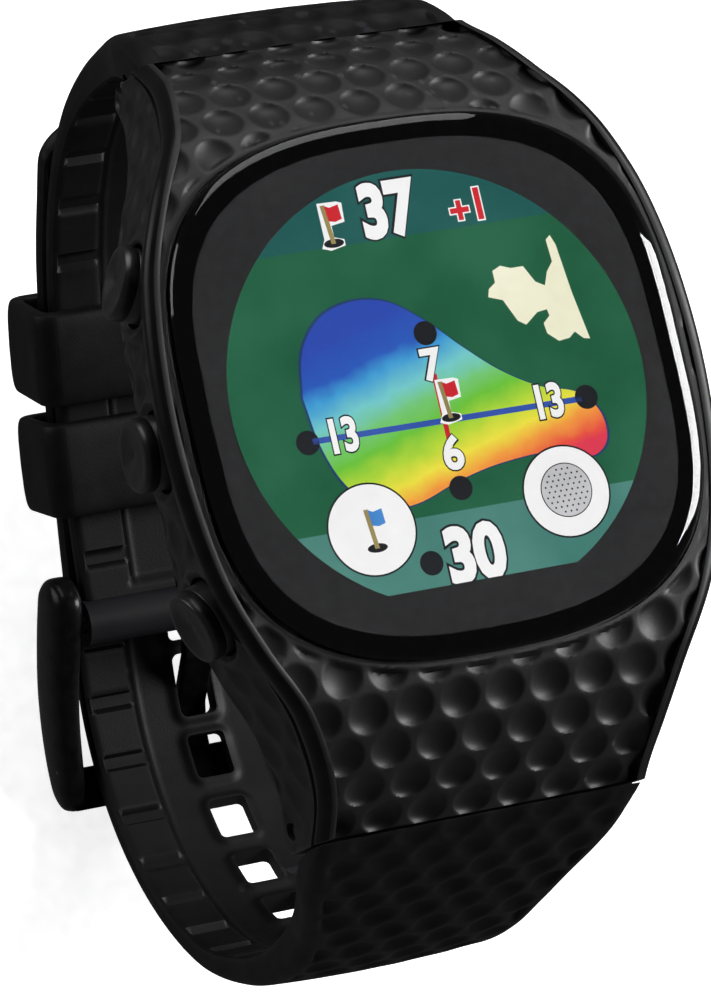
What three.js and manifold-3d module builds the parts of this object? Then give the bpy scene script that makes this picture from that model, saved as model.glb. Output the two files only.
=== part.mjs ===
// Golf GPS watch: a case with a bonded cover glass, three push buttons, and a strap closed on its buckle.
// Millimetres. Origin: centre of the flat case back.
// +Z leaves the display, +Y is 12 o'clock, +X is 3 o'clock.
import * as THREE from "three";
import { mergeVertices } from "three/addons/utils/BufferGeometryUtils.js";
import Module from "manifold-3d";

const wasm = await Module();
wasm.setup();

// ---------------------------------------------------------------- driving dimensions
const FIT = 0.3;                       // gap between pieces that are cut by a neighbour
const SEAM = 0.2;                      // parting line between the case shells
const WIDE = 60;                       // longer than the object, for cutting prisms

const GLASS = {
  halfX: 19.85, halfY: 20.25, powerX: 2.6, powerY: 3.4, centreY: 0.25, low: 12.2, edge: 12.95, top: 13.7,
};
const RIM = { low: 11.9, inset: 2.0 }; // seat of the glass in the top cover
const DISPLAY = { radius: 16.9, chordY: -15.2, low: 10.9, high: 12.05 };
const CAVITY = { halfX: 17.4, halfY: 18.3, corner: 12, low: 2.4, high: 11.1, ledge: 2 };
const BACK = { halfX: 17.2, halfY: 18.4, corner: 4.5, thick: 1.6 };
const SCREW = {
  x: 14.6, y: 15.9, head: 1.2, headHigh: 0.85, shank: 0.5, tip: 4.5,
  slotLong: 0.9, slotWide: 0.16, slotDeep: 0.4,
};
const CONTACT = { count: 4, pitch: 3.0, y: -10, radius: 0.85, high: 2.0 };

const COVER_SKIN = 3.2;                // depth of the top cover below its outer surface
const BUTTON = {
  z: 6.5, head: 2.8, headLow: -0.8, headHigh: 2.0, well: 3.2, wellLow: -1.7,
  stem: 1.1, stemLow: -4.6, bore: 1.35, boss: 2.6, bossLow: -3.4,
  groove: 1.95, grooveLow: -2.85, grooveHigh: -2.05, seal: 0.33, sealRing: 1.53,
  clip: 1.8, clipLow: -4.0, clipHigh: -3.6,
};
// The switch's face and depth are along the button's travel.
const SWITCH = { face: -5.6, deep: 1.9, wide: 3.4, low: 3.85, high: 6.85 };
const BUTTONS = [
  { name: "up", x: -19.0, y: 12.0, turn: 20 },
  { name: "enter", x: -20.4, y: -0.4, turn: 0 },
  { name: "down", x: -19.0, y: -13.1, turn: -20 },
];

const TONGUE_HALF = 10.6;              // strap end between the lugs
const BAR = {
  tube: 0.9, bore: 0.62, tubeHalf: 10.2, tip: 0.5, tipIn: 5.0, tipOut: 13.0, eye: 1.9, hole: 0.7,
};
const NOTCH = { from: 26.5, top: -0.6 };   // room between the lugs for the strap end
const LUG12 = { y: 29.2, z: -3.5 };    // spring bar axis at 12 o'clock
const LUG6 = { y: -28.9, z: -2.5 };    // spring bar axis at 6 o'clock

const STRAP_HALF = 10;                 // half width of the parallel part
const PIVOT = { y: -5, z: -47.9, bar: 0.7, barHalf: 11.8, eye: 1.9 };
const TANG = { half: 1.25, eye: 1.5, slotHalf: 1.75, holeHalf: 1.6 };
const HOLES = { tangY: -11.3, length: 4.9, plainLength: 3.8, pitch: 5.9, towardsCase: 5, towardsTail: 1 };
const FRAME = { armIn: 10.45, armOut: 12.8, hole: 0.95 };
const KEEPER = { half: 11.9, openHalf: 10.45, length: 7.8, wall: 1.9, play: 0.55, fixedY: 8.6, freeY: 16.7 };
const LAP = 2.35;                      // from the short strap's wrist side to the long strap's

const BACKLIGHT = { inset: 0.6, low: 10.25, gap: 0.1 };
const TRAY = { grow: 0.2, wall: 0.5, low: 9.45, floor: 10.15, high: 10.75 };
const FLEX = { half: 4, from: -15.5, side: -16.95, thick: 0.25, top: 11.55, low: 8.1, end: -13.4 };
const BOARD = { left: -13.4, right: 16.6, half: 17.2, low: 7.0, high: 8.0, clear: 0.5 };
const SHIELD = { from: [-8, -8, 8.1], to: [8, 4, 9.3] };
const ANTENNA = { from: [-8.6, 6.4, 3.7], to: [2.4, 17.4, 6.9] };
const BATTERY = { x: 2.0, y: -4.4, halfX: 12.2, halfY: 9.4, corner: 2, low: 2.6, high: 6.7 };
const MOTOR = { x: 9.4, y: 10.8, radius: 4, low: 3.9, high: 6.8 };

// ---------------------------------------------------------------- outlines
function v2(points) {
  return points.map(([a, b]) => new THREE.Vector2(a, b));
}

function smooth(points, steps) {
  return new THREE.SplineCurve(v2(points)).getPoints(steps);
}

function roundedRect(halfX, halfY, radius, steps = 6) {
  const shape = new THREE.Shape();
  shape.absarc(halfX - radius, halfY - radius, radius, 0, Math.PI / 2);
  shape.absarc(radius - halfX, halfY - radius, radius, Math.PI / 2, Math.PI);
  shape.absarc(radius - halfX, radius - halfY, radius, Math.PI, 1.5 * Math.PI);
  shape.absarc(halfX - radius, radius - halfY, radius, 1.5 * Math.PI, 2 * Math.PI);
  return shape.getPoints(steps).slice(0, -1);
}

// The glass is a rounded square whose sides bow out: a superellipse with its own power on each axis.
function glassOutline(inset = 0, steps = 48) {
  const points = [];
  for (let i = 0; i < steps; i += 1) {
    const angle = (2 * Math.PI * i) / steps;
    const c = Math.cos(angle);
    const s = Math.sin(angle);
    const x = Math.sign(c) * (GLASS.halfX - inset) * Math.abs(c) ** (2 / GLASS.powerX);
    const y = Math.sign(s) * (GLASS.halfY - inset) * Math.abs(s) ** (2 / GLASS.powerY);
    points.push(new THREE.Vector2(x, y + GLASS.centreY));
  }
  return points;
}

function circle(radius, steps = 24, x = 0, y = 0) {
  const shape = new THREE.Shape().absarc(x, y, radius, 0, 2 * Math.PI);
  return shape.getSpacedPoints(steps).slice(0, -1);
}

// The display is round with a flat edge at 6 o'clock.
function displayOutline(inset = 0) {
  const radius = DISPLAY.radius - inset;
  const chord = DISPLAY.chordY + inset;
  const start = Math.asin(chord / radius);
  const shape = new THREE.Shape().absarc(0, 0, radius, start, Math.PI - start);
  return shape.getSpacedPoints(36);
}

// ---------------------------------------------------------------- solids
function solid(geometry) {
  const bare = geometry.index ? geometry.toNonIndexed() : geometry.clone();
  bare.deleteAttribute("normal");
  bare.deleteAttribute("uv");
  const welded = mergeVertices(bare, 1e-4);
  const mesh = new wasm.Mesh({
    numProp: 3,
    vertProperties: new Float32Array(welded.attributes.position.array),
    triVerts: new Uint32Array(welded.index.array),
  });
  return new wasm.Manifold(mesh);
}

function extruded(points, low, high, basis) {
  const shape = new THREE.Shape(points);
  const options = { depth: high - low, bevelEnabled: false, curveSegments: 1 };
  const geometry = new THREE.ExtrudeGeometry(shape, options);
  geometry.translate(0, 0, low);
  if (basis) {
    geometry.applyMatrix4(basis);
  }
  return solid(geometry);
}

const ALONG_X = new THREE.Matrix4().makeBasis(
  new THREE.Vector3(0, 1, 0), new THREE.Vector3(0, 0, 1), new THREE.Vector3(1, 0, 0));
const ALONG_Y = new THREE.Matrix4().makeBasis(
  new THREE.Vector3(-1, 0, 0), new THREE.Vector3(0, 0, 1), new THREE.Vector3(0, 1, 0));

const prismX = (points, low, high) => extruded(points, low, high, ALONG_X);   // points are (y, z)
const prismY = (points, low, high) => extruded(points, low, high, ALONG_Y);   // points are (-x, z)
const prismZ = (points, low, high) => extruded(points, low, high);            // points are (x, y)

function boxBetween(a, b) {
  const geometry = new THREE.BoxGeometry(b[0] - a[0], b[1] - a[1], b[2] - a[2]);
  geometry.translate((a[0] + b[0]) / 2, (a[1] + b[1]) / 2, (a[2] + b[2]) / 2);
  return solid(geometry);
}

function lathe(profile, steps = 18) {
  return solid(new THREE.LatheGeometry(v2(profile), steps).rotateX(Math.PI / 2));
}

// A plain round bar along X at the given (y, z).
function rodX(radius, low, high, y, z, steps = 20) {
  return prismX(circle(radius, steps, y, z), low, high);
}

// Both sides of a strap from its wrist side: each route point is (y, z, thickness).
function band(route, steps, outwards) {
  const points = route.map(([y, z, t]) => new THREE.Vector3(y, z, t));
  const curve = new THREE.CatmullRomCurve3(points, false, "centripetal");
  const inner = [];
  const outer = [];
  for (let i = 0; i <= steps; i += 1) {
    const p = curve.getPoint(i / steps);
    const d = curve.getTangent(i / steps);
    const size = Math.hypot(d.x, d.y);
    inner.push(new THREE.Vector2(p.x, p.y));
    outer.push(new THREE.Vector2(p.x + (outwards * d.y * p.z) / size, p.y - (outwards * d.x * p.z) / size));
  }
  return { inner, outer };
}

// ---------------------------------------------------------------- scene helpers
const watch = new THREE.Group();

function material(color, roughness, metalness = 0) {
  return () => new THREE.MeshStandardMaterial({ color, roughness, metalness });
}

const LOOK = {
  shell: material(0x141517, 0.55),
  rubber: material(0x17181a, 0.7),
  glass: material(0x050607, 0.05),
  metal: material(0xb9bcc0, 0.3, 1),
  darkMetal: material(0x1c1d1f, 0.35, 1),
  board: material(0x0f5132, 0.6),
  seal: material(0x26282b, 0.8),
  gold: material(0xc79b3b, 0.3, 1),
  panel: material(0x23624a, 0.4),
  white: material(0xd8dadc, 0.6),
};

function add(name, body, look, parent = watch) {
  const data = body.getMesh();
  const geometry = new THREE.BufferGeometry();
  geometry.setAttribute("position", new THREE.BufferAttribute(new Float32Array(data.vertProperties), 3));
  geometry.setIndex(new THREE.BufferAttribute(new Uint32Array(data.triVerts), 1));
  const mesh = new THREE.Mesh(geometry, look());
  mesh.name = name;
  parent.add(mesh);
  return mesh;
}

// ---------------------------------------------------------------- case shells
const RAIL_PLAN = [[13.4, 31.5], [13.8, 28], [15.7, 22.5], [18.6, 17], [20.7, 11], [21.8, 0]];
const WALL_PLAN = [[13.2, 31.5], [13.5, 28], [15.3, 22.5], [17.7, 17], [19.4, 11], [20.4, 0]];
const CREST = [[-30.5, 4.0], [-27.3, 7.9], [-23.8, 10.7], [-20.4, 12.4], [-10, 12.85], [0, 12.9],
  [10, 12.85], [20.4, 12.3], [23.8, 10.0], [26.8, 7.0], [29.4, 3.0]];
const BELLY = [[29.4, -5.0], [28.3, -5.6], [25.6, -2.9], [21.5, -0.4], [19.4, 0.2],
  [-19.4, 0.2], [-21.5, -0.2], [-25.8, -2.2], [-29.2, -4.9], [-30.5, -4.4]];

function planOutline(quarter) {
  const mirroredY = quarter.slice(0, -1).reverse().map(([x, y]) => [x, -y]);
  const right = smooth([...quarter, ...mirroredY], 28);
  const left = right.map((p) => new THREE.Vector2(-p.x, p.y)).reverse();
  return [...right, ...left];
}

const crest = smooth(CREST, 30);
const underCrest = (drop) => crest.map((p) => new THREE.Vector2(p.x, p.y - drop));
const RAIL_SECTION = [
  [20.2, 14], [20.9, 12.6], [21.6, 11.8], [21.9, 10.6], [21.7, 9.4], [21.2, 8.6], [20, 4], [19, -8],
];
const WALL_SECTION = [[20.6, 10], [20.4, 7], [19.9, 3.5], [19.0, 0.2], [17.5, -2], [14.5, -6]];
const mirrored = (half) => v2([...half, ...half.map(([x, z]) => [-x, z]).reverse()]);

function caseOuter(plan, section) {
  return prismZ(planOutline(plan), -WIDE, WIDE).intersect(prismY(mirrored(section), -WIDE, WIDE));
}

const cavity = prismZ(roundedRect(CAVITY.halfX, CAVITY.halfY, CAVITY.corner), CAVITY.low, CAVITY.high);

const topCover = caseOuter(RAIL_PLAN, RAIL_SECTION)
  .intersect(prismX([...crest, ...underCrest(COVER_SKIN).reverse()], -WIDE, WIDE))
  .subtract(prismZ(glassOutline(-FIT), RIM.low, WIDE))
  .subtract(prismZ(glassOutline(RIM.inset), 0, WIDE))
  .subtract(cavity);
add("top_cover", topCover, LOOK.shell);

// The glass is flat in the middle and falls away at its edge in three shallow steps.
const GLASS_EDGE = [[0, 0, 0.4], [0.25, 0.4, 0.65], [0.8, 0.65, 0.9], [1.9, 0.9, 1]];
let coverGlass = prismZ(glassOutline(), GLASS.low, GLASS.edge);
for (const [inset, from, to] of GLASS_EDGE) {
  const rise = GLASS.top - GLASS.edge;
  const low = GLASS.edge + from * rise - 0.05;
  coverGlass = coverGlass.add(prismZ(glassOutline(inset + 0.15), low, GLASS.edge + to * rise));
}
add("cover_glass", coverGlass, LOOK.glass);

const gasket = prismZ(glassOutline(0.3), RIM.low, GLASS.low)
  .subtract(prismZ(glassOutline(RIM.inset - 0.2), 0, WIDE));
add("glass_gasket", gasket, LOOK.seal);

// Each button's own frame: local +Z leaves the case along the button's travel.
function buttonFrame(button) {
  const up = new THREE.Vector3(0, 0, 1);
  const outward = new THREE.Vector3(-1, 0, 0).applyAxisAngle(up, THREE.MathUtils.degToRad(-button.turn));
  const side = new THREE.Vector3().crossVectors(up, outward);
  return new THREE.Matrix4().makeBasis(side, up, outward).setPosition(button.x, button.y, BUTTON.z);
}

function placed(geometry, matrix) {
  return solid(geometry.applyMatrix4(matrix));
}

function plug(radius, low, high, button, steps = 20) {
  const geometry = new THREE.CylinderGeometry(radius, radius, high - low, steps).rotateX(Math.PI / 2);
  return placed(geometry.translate(0, 0, (low + high) / 2), buttonFrame(button));
}

const wallOuter = caseOuter(WALL_PLAN, WALL_SECTION);
const ledge = roundedRect(CAVITY.halfX - CAVITY.ledge, CAVITY.halfY - CAVITY.ledge, CAVITY.corner - 1);
let midCase = wallOuter
  .intersect(prismX([...underCrest(COVER_SKIN + SEAM), ...v2(BELLY)], -WIDE, WIDE))
  .subtract(cavity)
  .subtract(prismZ(ledge, -1, CAVITY.low + 1))
  .subtract(prismZ(roundedRect(BACK.halfX + FIT, BACK.halfY + FIT, BACK.corner), -WIDE, BACK.thick + 0.2));
for (const button of BUTTONS) {
  midCase = midCase
    .add(plug(BUTTON.boss, BUTTON.bossLow, BUTTON.wellLow, button))
    .subtract(plug(BUTTON.well, BUTTON.wellLow, BUTTON.headHigh + 4, button))
    .subtract(plug(BUTTON.bore, BUTTON.bossLow - 1, 0, button))
    .subtract(plug(BUTTON.clip + 0.4, BUTTON.stemLow - 2, BUTTON.bossLow, button))
    .subtract(plug(BUTTON.groove, BUTTON.grooveLow, BUTTON.grooveHigh, button));
}
const screwPlaces = [];
for (const sx of [-1, 1]) {
  for (const sy of [-1, 1]) {
    const name = `${sy > 0 ? "12" : "6"}_${sx > 0 ? "right" : "left"}`;
    screwPlaces.push({ name, x: sx * SCREW.x, y: sy * SCREW.y });
  }
}
for (const { x, y } of screwPlaces) {
  midCase = midCase.subtract(prismZ(circle(SCREW.shank + 0.1, 10, x, y), 0, SCREW.tip + 0.3));
}
for (const [lug, side] of [[LUG12, 1], [LUG6, -1]]) {
  const low = Math.min(side * NOTCH.from, side * WIDE);
  const high = Math.max(side * NOTCH.from, side * WIDE);
  midCase = midCase
    .subtract(boxBetween([-TONGUE_HALF - FIT, low, -WIDE], [TONGUE_HALF + FIT, high, NOTCH.top]))
    .subtract(rodX(BAR.hole, -WIDE, WIDE, lug.y, lug.z));
}
add("mid_case", midCase, LOOK.shell);

// ---------------------------------------------------------------- case back
let caseBack = prismZ(roundedRect(BACK.halfX, BACK.halfY, BACK.corner), 0, BACK.thick);
for (const { x, y } of screwPlaces) {
  caseBack = caseBack
    .subtract(prismZ(circle(SCREW.head + 0.2, 16, x, y), -1, SCREW.headHigh + 0.1))
    .subtract(prismZ(circle(SCREW.shank + 0.15, 10, x, y), -1, BACK.thick + 1));
}
for (let i = 0; i < CONTACT.count; i += 1) {
  const x = (i - (CONTACT.count - 1) / 2) * CONTACT.pitch;
  caseBack = caseBack.subtract(prismZ(circle(CONTACT.radius + 0.2, 12, x, CONTACT.y), -1, WIDE));
  const pin = prismZ(circle(CONTACT.radius, 12, x, CONTACT.y), 0.05, CONTACT.high);
  add(`charging_contact_${i + 1}`, pin, LOOK.gold);
}
add("case_back", caseBack, LOOK.shell);

// Insets from the back's outline, and heights above the back.
const SEAL_LINE = { outer: 0.4, inner: 1.3, low: 0.02, high: 0.18 };
const sealRing = (inset) => roundedRect(BACK.halfX - inset, BACK.halfY - inset, BACK.corner - inset);
let backGasket = prismZ(sealRing(SEAL_LINE.outer), BACK.thick + SEAL_LINE.low, BACK.thick + SEAL_LINE.high)
  .subtract(prismZ(sealRing(SEAL_LINE.inner), 0, WIDE));
for (const { name, x, y } of screwPlaces) {
  backGasket = backGasket.subtract(prismZ(circle(SCREW.shank + 0.2, 10, x, y), 0, WIDE));
  const { slotLong, slotWide, slotDeep } = SCREW;
  const screw = prismZ(circle(SCREW.head, 16, x, y), 0.1, SCREW.headHigh)
    .add(prismZ(circle(SCREW.shank, 10, x, y), 0.5, SCREW.tip))
    .subtract(boxBetween([x - slotLong, y - slotWide, 0], [x + slotLong, y + slotWide, slotDeep]))
    .subtract(boxBetween([x - slotWide, y - slotLong, 0], [x + slotWide, y + slotLong, slotDeep]));
  add(`back_screw_${name}`, screw, LOOK.metal);
}
add("case_back_gasket", backGasket, LOOK.seal);

// ---------------------------------------------------------------- display and electronics
add("lcd_panel", prismZ(displayOutline(), DISPLAY.low, DISPLAY.high), LOOK.panel);
const backlight = prismZ(displayOutline(BACKLIGHT.inset), BACKLIGHT.low, DISPLAY.low - BACKLIGHT.gap);
add("backlight", backlight, LOOK.white);
const tray = prismZ(displayOutline(-TRAY.grow), TRAY.low, TRAY.high)
  .subtract(prismZ(displayOutline(TRAY.wall - TRAY.grow), TRAY.floor, WIDE));
add("lcd_frame", tray, LOOK.shell);
const flex = prismX(v2([
  [FLEX.from, FLEX.top - FLEX.thick], [FLEX.side + FLEX.thick, FLEX.top - FLEX.thick],
  [FLEX.side + FLEX.thick, FLEX.low + FLEX.thick], [FLEX.end, FLEX.low + FLEX.thick], [FLEX.end, FLEX.low],
  [FLEX.side, FLEX.low], [FLEX.side, FLEX.top], [FLEX.from, FLEX.top],
]), -FLEX.half, FLEX.half);
add("display_flex", flex, LOOK.gold);

const board = prismZ(
  roundedRect(CAVITY.halfX - BOARD.clear, CAVITY.halfY - BOARD.clear, CAVITY.corner), BOARD.low, BOARD.high)
  .intersect(boxBetween([BOARD.left, -BOARD.half, 0], [BOARD.right, BOARD.half, WIDE]));
add("main_pcb", board, LOOK.board);
add("shield_can", boxBetween(SHIELD.from, SHIELD.to), LOOK.metal);
add("gps_antenna", boxBetween(ANTENNA.from, ANTENNA.to), LOOK.white);
const cell = prismZ(roundedRect(BATTERY.halfX, BATTERY.halfY, BATTERY.corner), BATTERY.low, BATTERY.high);
add("battery", cell.translate([BATTERY.x, BATTERY.y, 0]), LOOK.metal);
add("vibration_motor", prismZ(circle(MOTOR.radius, 28, MOTOR.x, MOTOR.y), MOTOR.low, MOTOR.high), LOOK.metal);

// ---------------------------------------------------------------- buttons
for (const button of BUTTONS) {
  const frame = buttonFrame(button);
  const capProfile = [
    [0, BUTTON.stemLow], [BUTTON.stem, BUTTON.stemLow], [BUTTON.stem, BUTTON.clipLow - 0.1],
    [BUTTON.stem - 0.35, BUTTON.clipLow - 0.1], [BUTTON.stem - 0.35, BUTTON.clipHigh + 0.1],
    [BUTTON.stem, BUTTON.clipHigh + 0.1], [BUTTON.stem, BUTTON.headLow], [BUTTON.head, BUTTON.headLow],
    [BUTTON.head, BUTTON.headHigh - 0.6], [BUTTON.head - 0.2, BUTTON.headHigh - 0.2],
    [BUTTON.head - 0.6, BUTTON.headHigh], [0, BUTTON.headHigh],
  ];
  add(`button_${button.name}`, lathe(capProfile).transform(frame.elements), LOOK.shell);
  const clip = [[0.9, BUTTON.clipLow], [BUTTON.clip, BUTTON.clipLow], [BUTTON.clip, BUTTON.clipHigh],
    [0.9, BUTTON.clipHigh], [0.9, BUTTON.clipLow]];
  add(`button_clip_${button.name}`, lathe(clip).transform(frame.elements), LOOK.metal);
  const sealPoints = [];
  for (let i = 0; i <= 6; i += 1) {
    const angle = (2 * Math.PI * i) / 6;
    const middle = (BUTTON.grooveLow + BUTTON.grooveHigh) / 2;
    const reach = BUTTON.sealRing + BUTTON.seal * Math.cos(angle);
    sealPoints.push([reach, middle + BUTTON.seal * Math.sin(angle)]);
  }
  add(`button_seal_${button.name}`, lathe(sealPoints, 16).transform(frame.elements), LOOK.seal);
  const body = boxBetween([-SWITCH.wide / 2, SWITCH.low - BUTTON.z, SWITCH.face - SWITCH.deep],
    [SWITCH.wide / 2, SWITCH.high - BUTTON.z, SWITCH.face]);
  add(`tact_switch_${button.name}`, body.transform(frame.elements), LOOK.metal);
}

// ---------------------------------------------------------------- straps
const SHORT_ROUTE = [
  [30.0, -4.8, 3.6], [31.4, -9.5, 3.6], [32.3, -15, 3.4], [32.5, -20, 3.1], [31.9, -25, 2.6],
  [30.4, -29, 2.2],
  [28.2, -32.4, 2], [25, -35.6, 2], [20.2, -38.8, 2], [13.5, -42, 2], [5, -45, 2], [-3.4, -46.9, 2],
];
const SHORT_STEPS = 60;
const short = band(SHORT_ROUTE, SHORT_STEPS, -1);

// The long strap lies outside the short one from the buckle on, so that stretch follows the short strap,
// and its free tail springs off a little.
const LAP_STEPS = [51, 46, 41, 36, 32, 28];
const TAIL_STEP = 34;
const TAIL_LIFT = 0.45;

function lapRoute() {
  const points = [];
  for (const i of LAP_STEPS) {
    const p = short.inner[i];
    const q = short.outer[i];
    const n = q.clone().sub(p).normalize();
    const lift = i < TAIL_STEP ? TAIL_LIFT : 0;
    points.push([p.x + n.x * (LAP + lift), p.y + n.y * (LAP + lift), 2]);
  }
  return points;
}

const LONG_ROUTE = [
  [-30.8, -4.6, 3.4], [-32.2, -9.2, 3.5], [-33.8, -14, 3.5], [-35, -18.8, 3.5], [-35.8, -25, 3],
  [-35.3, -31.5, 2.6],
  [-33.6, -38, 2.3], [-30.5, -43.3, 2.1], [-26.1, -47.9, 2], [-21.4, -50.8, 2], [-16.9, -52.2, 2],
  [-13, -52.5, 2],
  [-9.2, -52, 2], [-5, -50.9, 2], [-0.8, -49.7, 2], ...lapRoute(),
];
const LONG_STEPS = 120;
const long = band(LONG_ROUTE, LONG_STEPS, 1);

const STRAP_WIDTH = [[13.4, 6], [13.2, 1], [12, -4.5], [10.7, -12], [10, -18], [10, -70]];
const strapWidth = prismY(mirrored(STRAP_WIDTH), -WIDE, WIDE);

function strapHead(lug, side, topZ) {
  const faceY = side > 0 ? 29.4 + FIT : -30.5 - FIT;
  const heel = side > 0 ? short : long;
  const outline = [[faceY, heel.inner[0].y], [faceY, topZ], [faceY + side * 1.9, topZ - 3.6]];
  const head = [...v2(outline), heel.outer[0], heel.outer[1], heel.inner[1], heel.inner[0]];
  const tongue = [[faceY + side * 0.5, lug.z + BAR.eye], [faceY + side * 0.5, lug.z - 1.2],
    [lug.y, lug.z - 1.2], [lug.y, lug.z + BAR.eye]];
  const order = (list) => (THREE.ShapeUtils.area(list) > 0 ? list : [...list].reverse());
  return prismX(order(head), -WIDE, WIDE).intersect(strapWidth)
    .add(rodX(BAR.eye, -TONGUE_HALF, TONGUE_HALF, lug.y, lug.z, 28))
    .add(prismX(order(v2(tongue)), -TONGUE_HALF, TONGUE_HALF))
    .subtract(rodX(BAR.tube + 0.15, -WIDE, WIDE, lug.y, lug.z));
}

const ringOf = ({ inner, outer }) => {
  const list = [...inner, ...[...outer].reverse()];
  return THREE.ShapeUtils.area(list) > 0 ? list : list.reverse();
};

const TANG_ROOM = { below: 3, towardsCase: 2.4, above: 3 };   // the short strap's slot round the tang's eye
const strapShort = prismX(ringOf(short), -WIDE, WIDE)
  .intersect(strapWidth)
  .add(strapHead(LUG12, 1, 2.9))
  .add(rodX(PIVOT.eye, -STRAP_HALF, STRAP_HALF, PIVOT.y, PIVOT.z, 28))
  .subtract(rodX(PIVOT.bar + 0.2, -WIDE, WIDE, PIVOT.y, PIVOT.z))
  .subtract(boxBetween(
    [-TANG.slotHalf, PIVOT.y - TANG_ROOM.below, PIVOT.z - TANG_ROOM.below],
    [TANG.slotHalf, PIVOT.y + TANG_ROOM.towardsCase, PIVOT.z + TANG_ROOM.above]));
add("strap_short", strapShort, LOOK.rubber);

// The holes are cut square to the strap, one pitch apart along its wrist side.
// The tang's own hole is stretched.
function holeAt(curve, index, length) {
  const p = curve.inner[index];
  const d = curve.inner[index + 1].clone().sub(curve.inner[index - 1]);
  const box = new THREE.BoxGeometry(2 * TANG.holeHalf, length, 8).rotateX(Math.atan2(d.y, d.x));
  return solid(box.translate(0, p.x, p.y));
}

function indexAlong(curve, start, distance) {
  const step = Math.sign(distance);
  let index = start;
  let left = Math.abs(distance);
  while (left > 0) {
    left -= curve.inner[index + step].distanceTo(curve.inner[index]);
    index += step;
  }
  return index;
}

let strapLong = prismX(ringOf(long), -WIDE, WIDE)
  .intersect(strapWidth)
  .add(strapHead(LUG6, -1, 3.9));
const tangHole = long.inner.findIndex((p) => p.x > HOLES.tangY && p.y < -30);
for (let k = -HOLES.towardsCase; k <= HOLES.towardsTail; k += 1) {
  const index = k === 0 ? tangHole : indexAlong(long, tangHole, k * HOLES.pitch);
  strapLong = strapLong.subtract(holeAt(long, index, k === 0 ? HOLES.length : HOLES.plainLength));
}
add("strap_long", strapLong, LOOK.rubber);

for (const [place, lug] of [["12", LUG12], ["6", LUG6]]) {
  const tube = rodX(BAR.tube, -BAR.tubeHalf, BAR.tubeHalf, lug.y, lug.z)
    .subtract(rodX(BAR.bore, -WIDE, WIDE, lug.y, lug.z, 16));
  add(`spring_bar_tube_${place}`, tube, LOOK.metal);
  add(`spring_bar_tip_${place}_left`, rodX(BAR.tip, -BAR.tipOut, -BAR.tipIn, lug.y, lug.z, 16), LOOK.metal);
  add(`spring_bar_tip_${place}_right`, rodX(BAR.tip, BAR.tipIn, BAR.tipOut, lug.y, lug.z, 16), LOOK.metal);
}

// ---------------------------------------------------------------- buckle
const ARM = [
  [-1.1, -46.4], [-0.7, -48.2], [-1.8, -50.0], [-5.5, -52.9], [-12.5, -56.3], [-16.4, -57.4], [-18.2, -57.1],
  [-19.3, -56.0], [-19.5, -54.6], [-18.9, -53.4], [-12.2, -49.6], [-6.2, -46.0], [-3.4, -45.4],
];
const CROSSBAR = [
  [-15.9, -55.1], [-15.9, -57.2], [-16.4, -57.4], [-18.2, -57.1], [-19.3, -56.0], [-19.5, -54.6],
];
const TANG_GROOVE = { low: -55.45, from: -21, to: -15 };   // where the crossbar is cut for the tang's tip

function counterClockwise(points) {
  const list = v2(points);
  return THREE.ShapeUtils.area(list) > 0 ? list : list.reverse();
}

let buckleFrame = prismX(counterClockwise(ARM), FRAME.armIn, FRAME.armOut)
  .add(prismX(counterClockwise(ARM), -FRAME.armOut, -FRAME.armIn))
  .add(prismX(counterClockwise(CROSSBAR), -FRAME.armOut, FRAME.armOut))
  .subtract(rodX(FRAME.hole, -WIDE, WIDE, PIVOT.y, PIVOT.z))
  .subtract(boxBetween(
    [-TANG.half - FIT, TANG_GROOVE.from, -WIDE], [TANG.half + FIT, TANG_GROOVE.to, TANG_GROOVE.low]));
add("buckle_frame", buckleFrame, LOOK.darkMetal);

const TANG_TOP = [[-5.2, -47.2], [-9.2, -49.6], [-12.5, -54.2], [-14.6, -55.4], [-18.9, -55.9]];
const TANG_LOW = [[-18.9, -56.9], [-14.3, -56.5], [-11.7, -55.0], [-8.5, -50.7], [-5.2, -48.6]];
const tang = prismX(counterClockwise([...TANG_TOP, ...TANG_LOW]), -TANG.half, TANG.half)
  .add(rodX(TANG.eye, -TANG.half, TANG.half, PIVOT.y, PIVOT.z, 24))
  .subtract(rodX(FRAME.hole, -WIDE, WIDE, PIVOT.y, PIVOT.z));
add("buckle_tang", tang, LOOK.darkMetal);
add("buckle_bar", rodX(PIVOT.bar, -PIVOT.barHalf, PIVOT.barHalf, PIVOT.y, PIVOT.z), LOOK.darkMetal);

// ---------------------------------------------------------------- keepers
function keeper(name, y) {
  const index = short.inner.findIndex((point) => point.x < y && point.y < -30);
  const p = short.inner[index];
  const n = short.outer[index].clone().sub(p).normalize();
  const stack = LAP + 2;
  const middle = p.clone().addScaledVector(n, stack / 2);
  const frame = new THREE.Matrix4().makeBasis(
    new THREE.Vector3(1, 0, 0), new THREE.Vector3(0, n.x, n.y), new THREE.Vector3(0, -n.y, n.x));
  frame.setPosition(0, middle.x, middle.y);
  const openHalf = stack / 2 + KEEPER.play;
  const halfLong = KEEPER.length / 2;
  const outer = prismZ(roundedRect(KEEPER.half, openHalf + KEEPER.wall, 1.6), -halfLong, halfLong);
  const inner = prismZ(roundedRect(KEEPER.openHalf, openHalf, 0.4), -WIDE, WIDE);
  add(name, outer.subtract(inner).transform(frame.elements), LOOK.rubber);
}

keeper("keeper_fixed", KEEPER.fixedY);
keeper("keeper_free", KEEPER.freeY);

export default watch;
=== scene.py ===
import math

import bmesh
import bpy
import numpy as np
from mathutils import Matrix, Vector
from mathutils.geometry import tessellate_polygon


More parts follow.
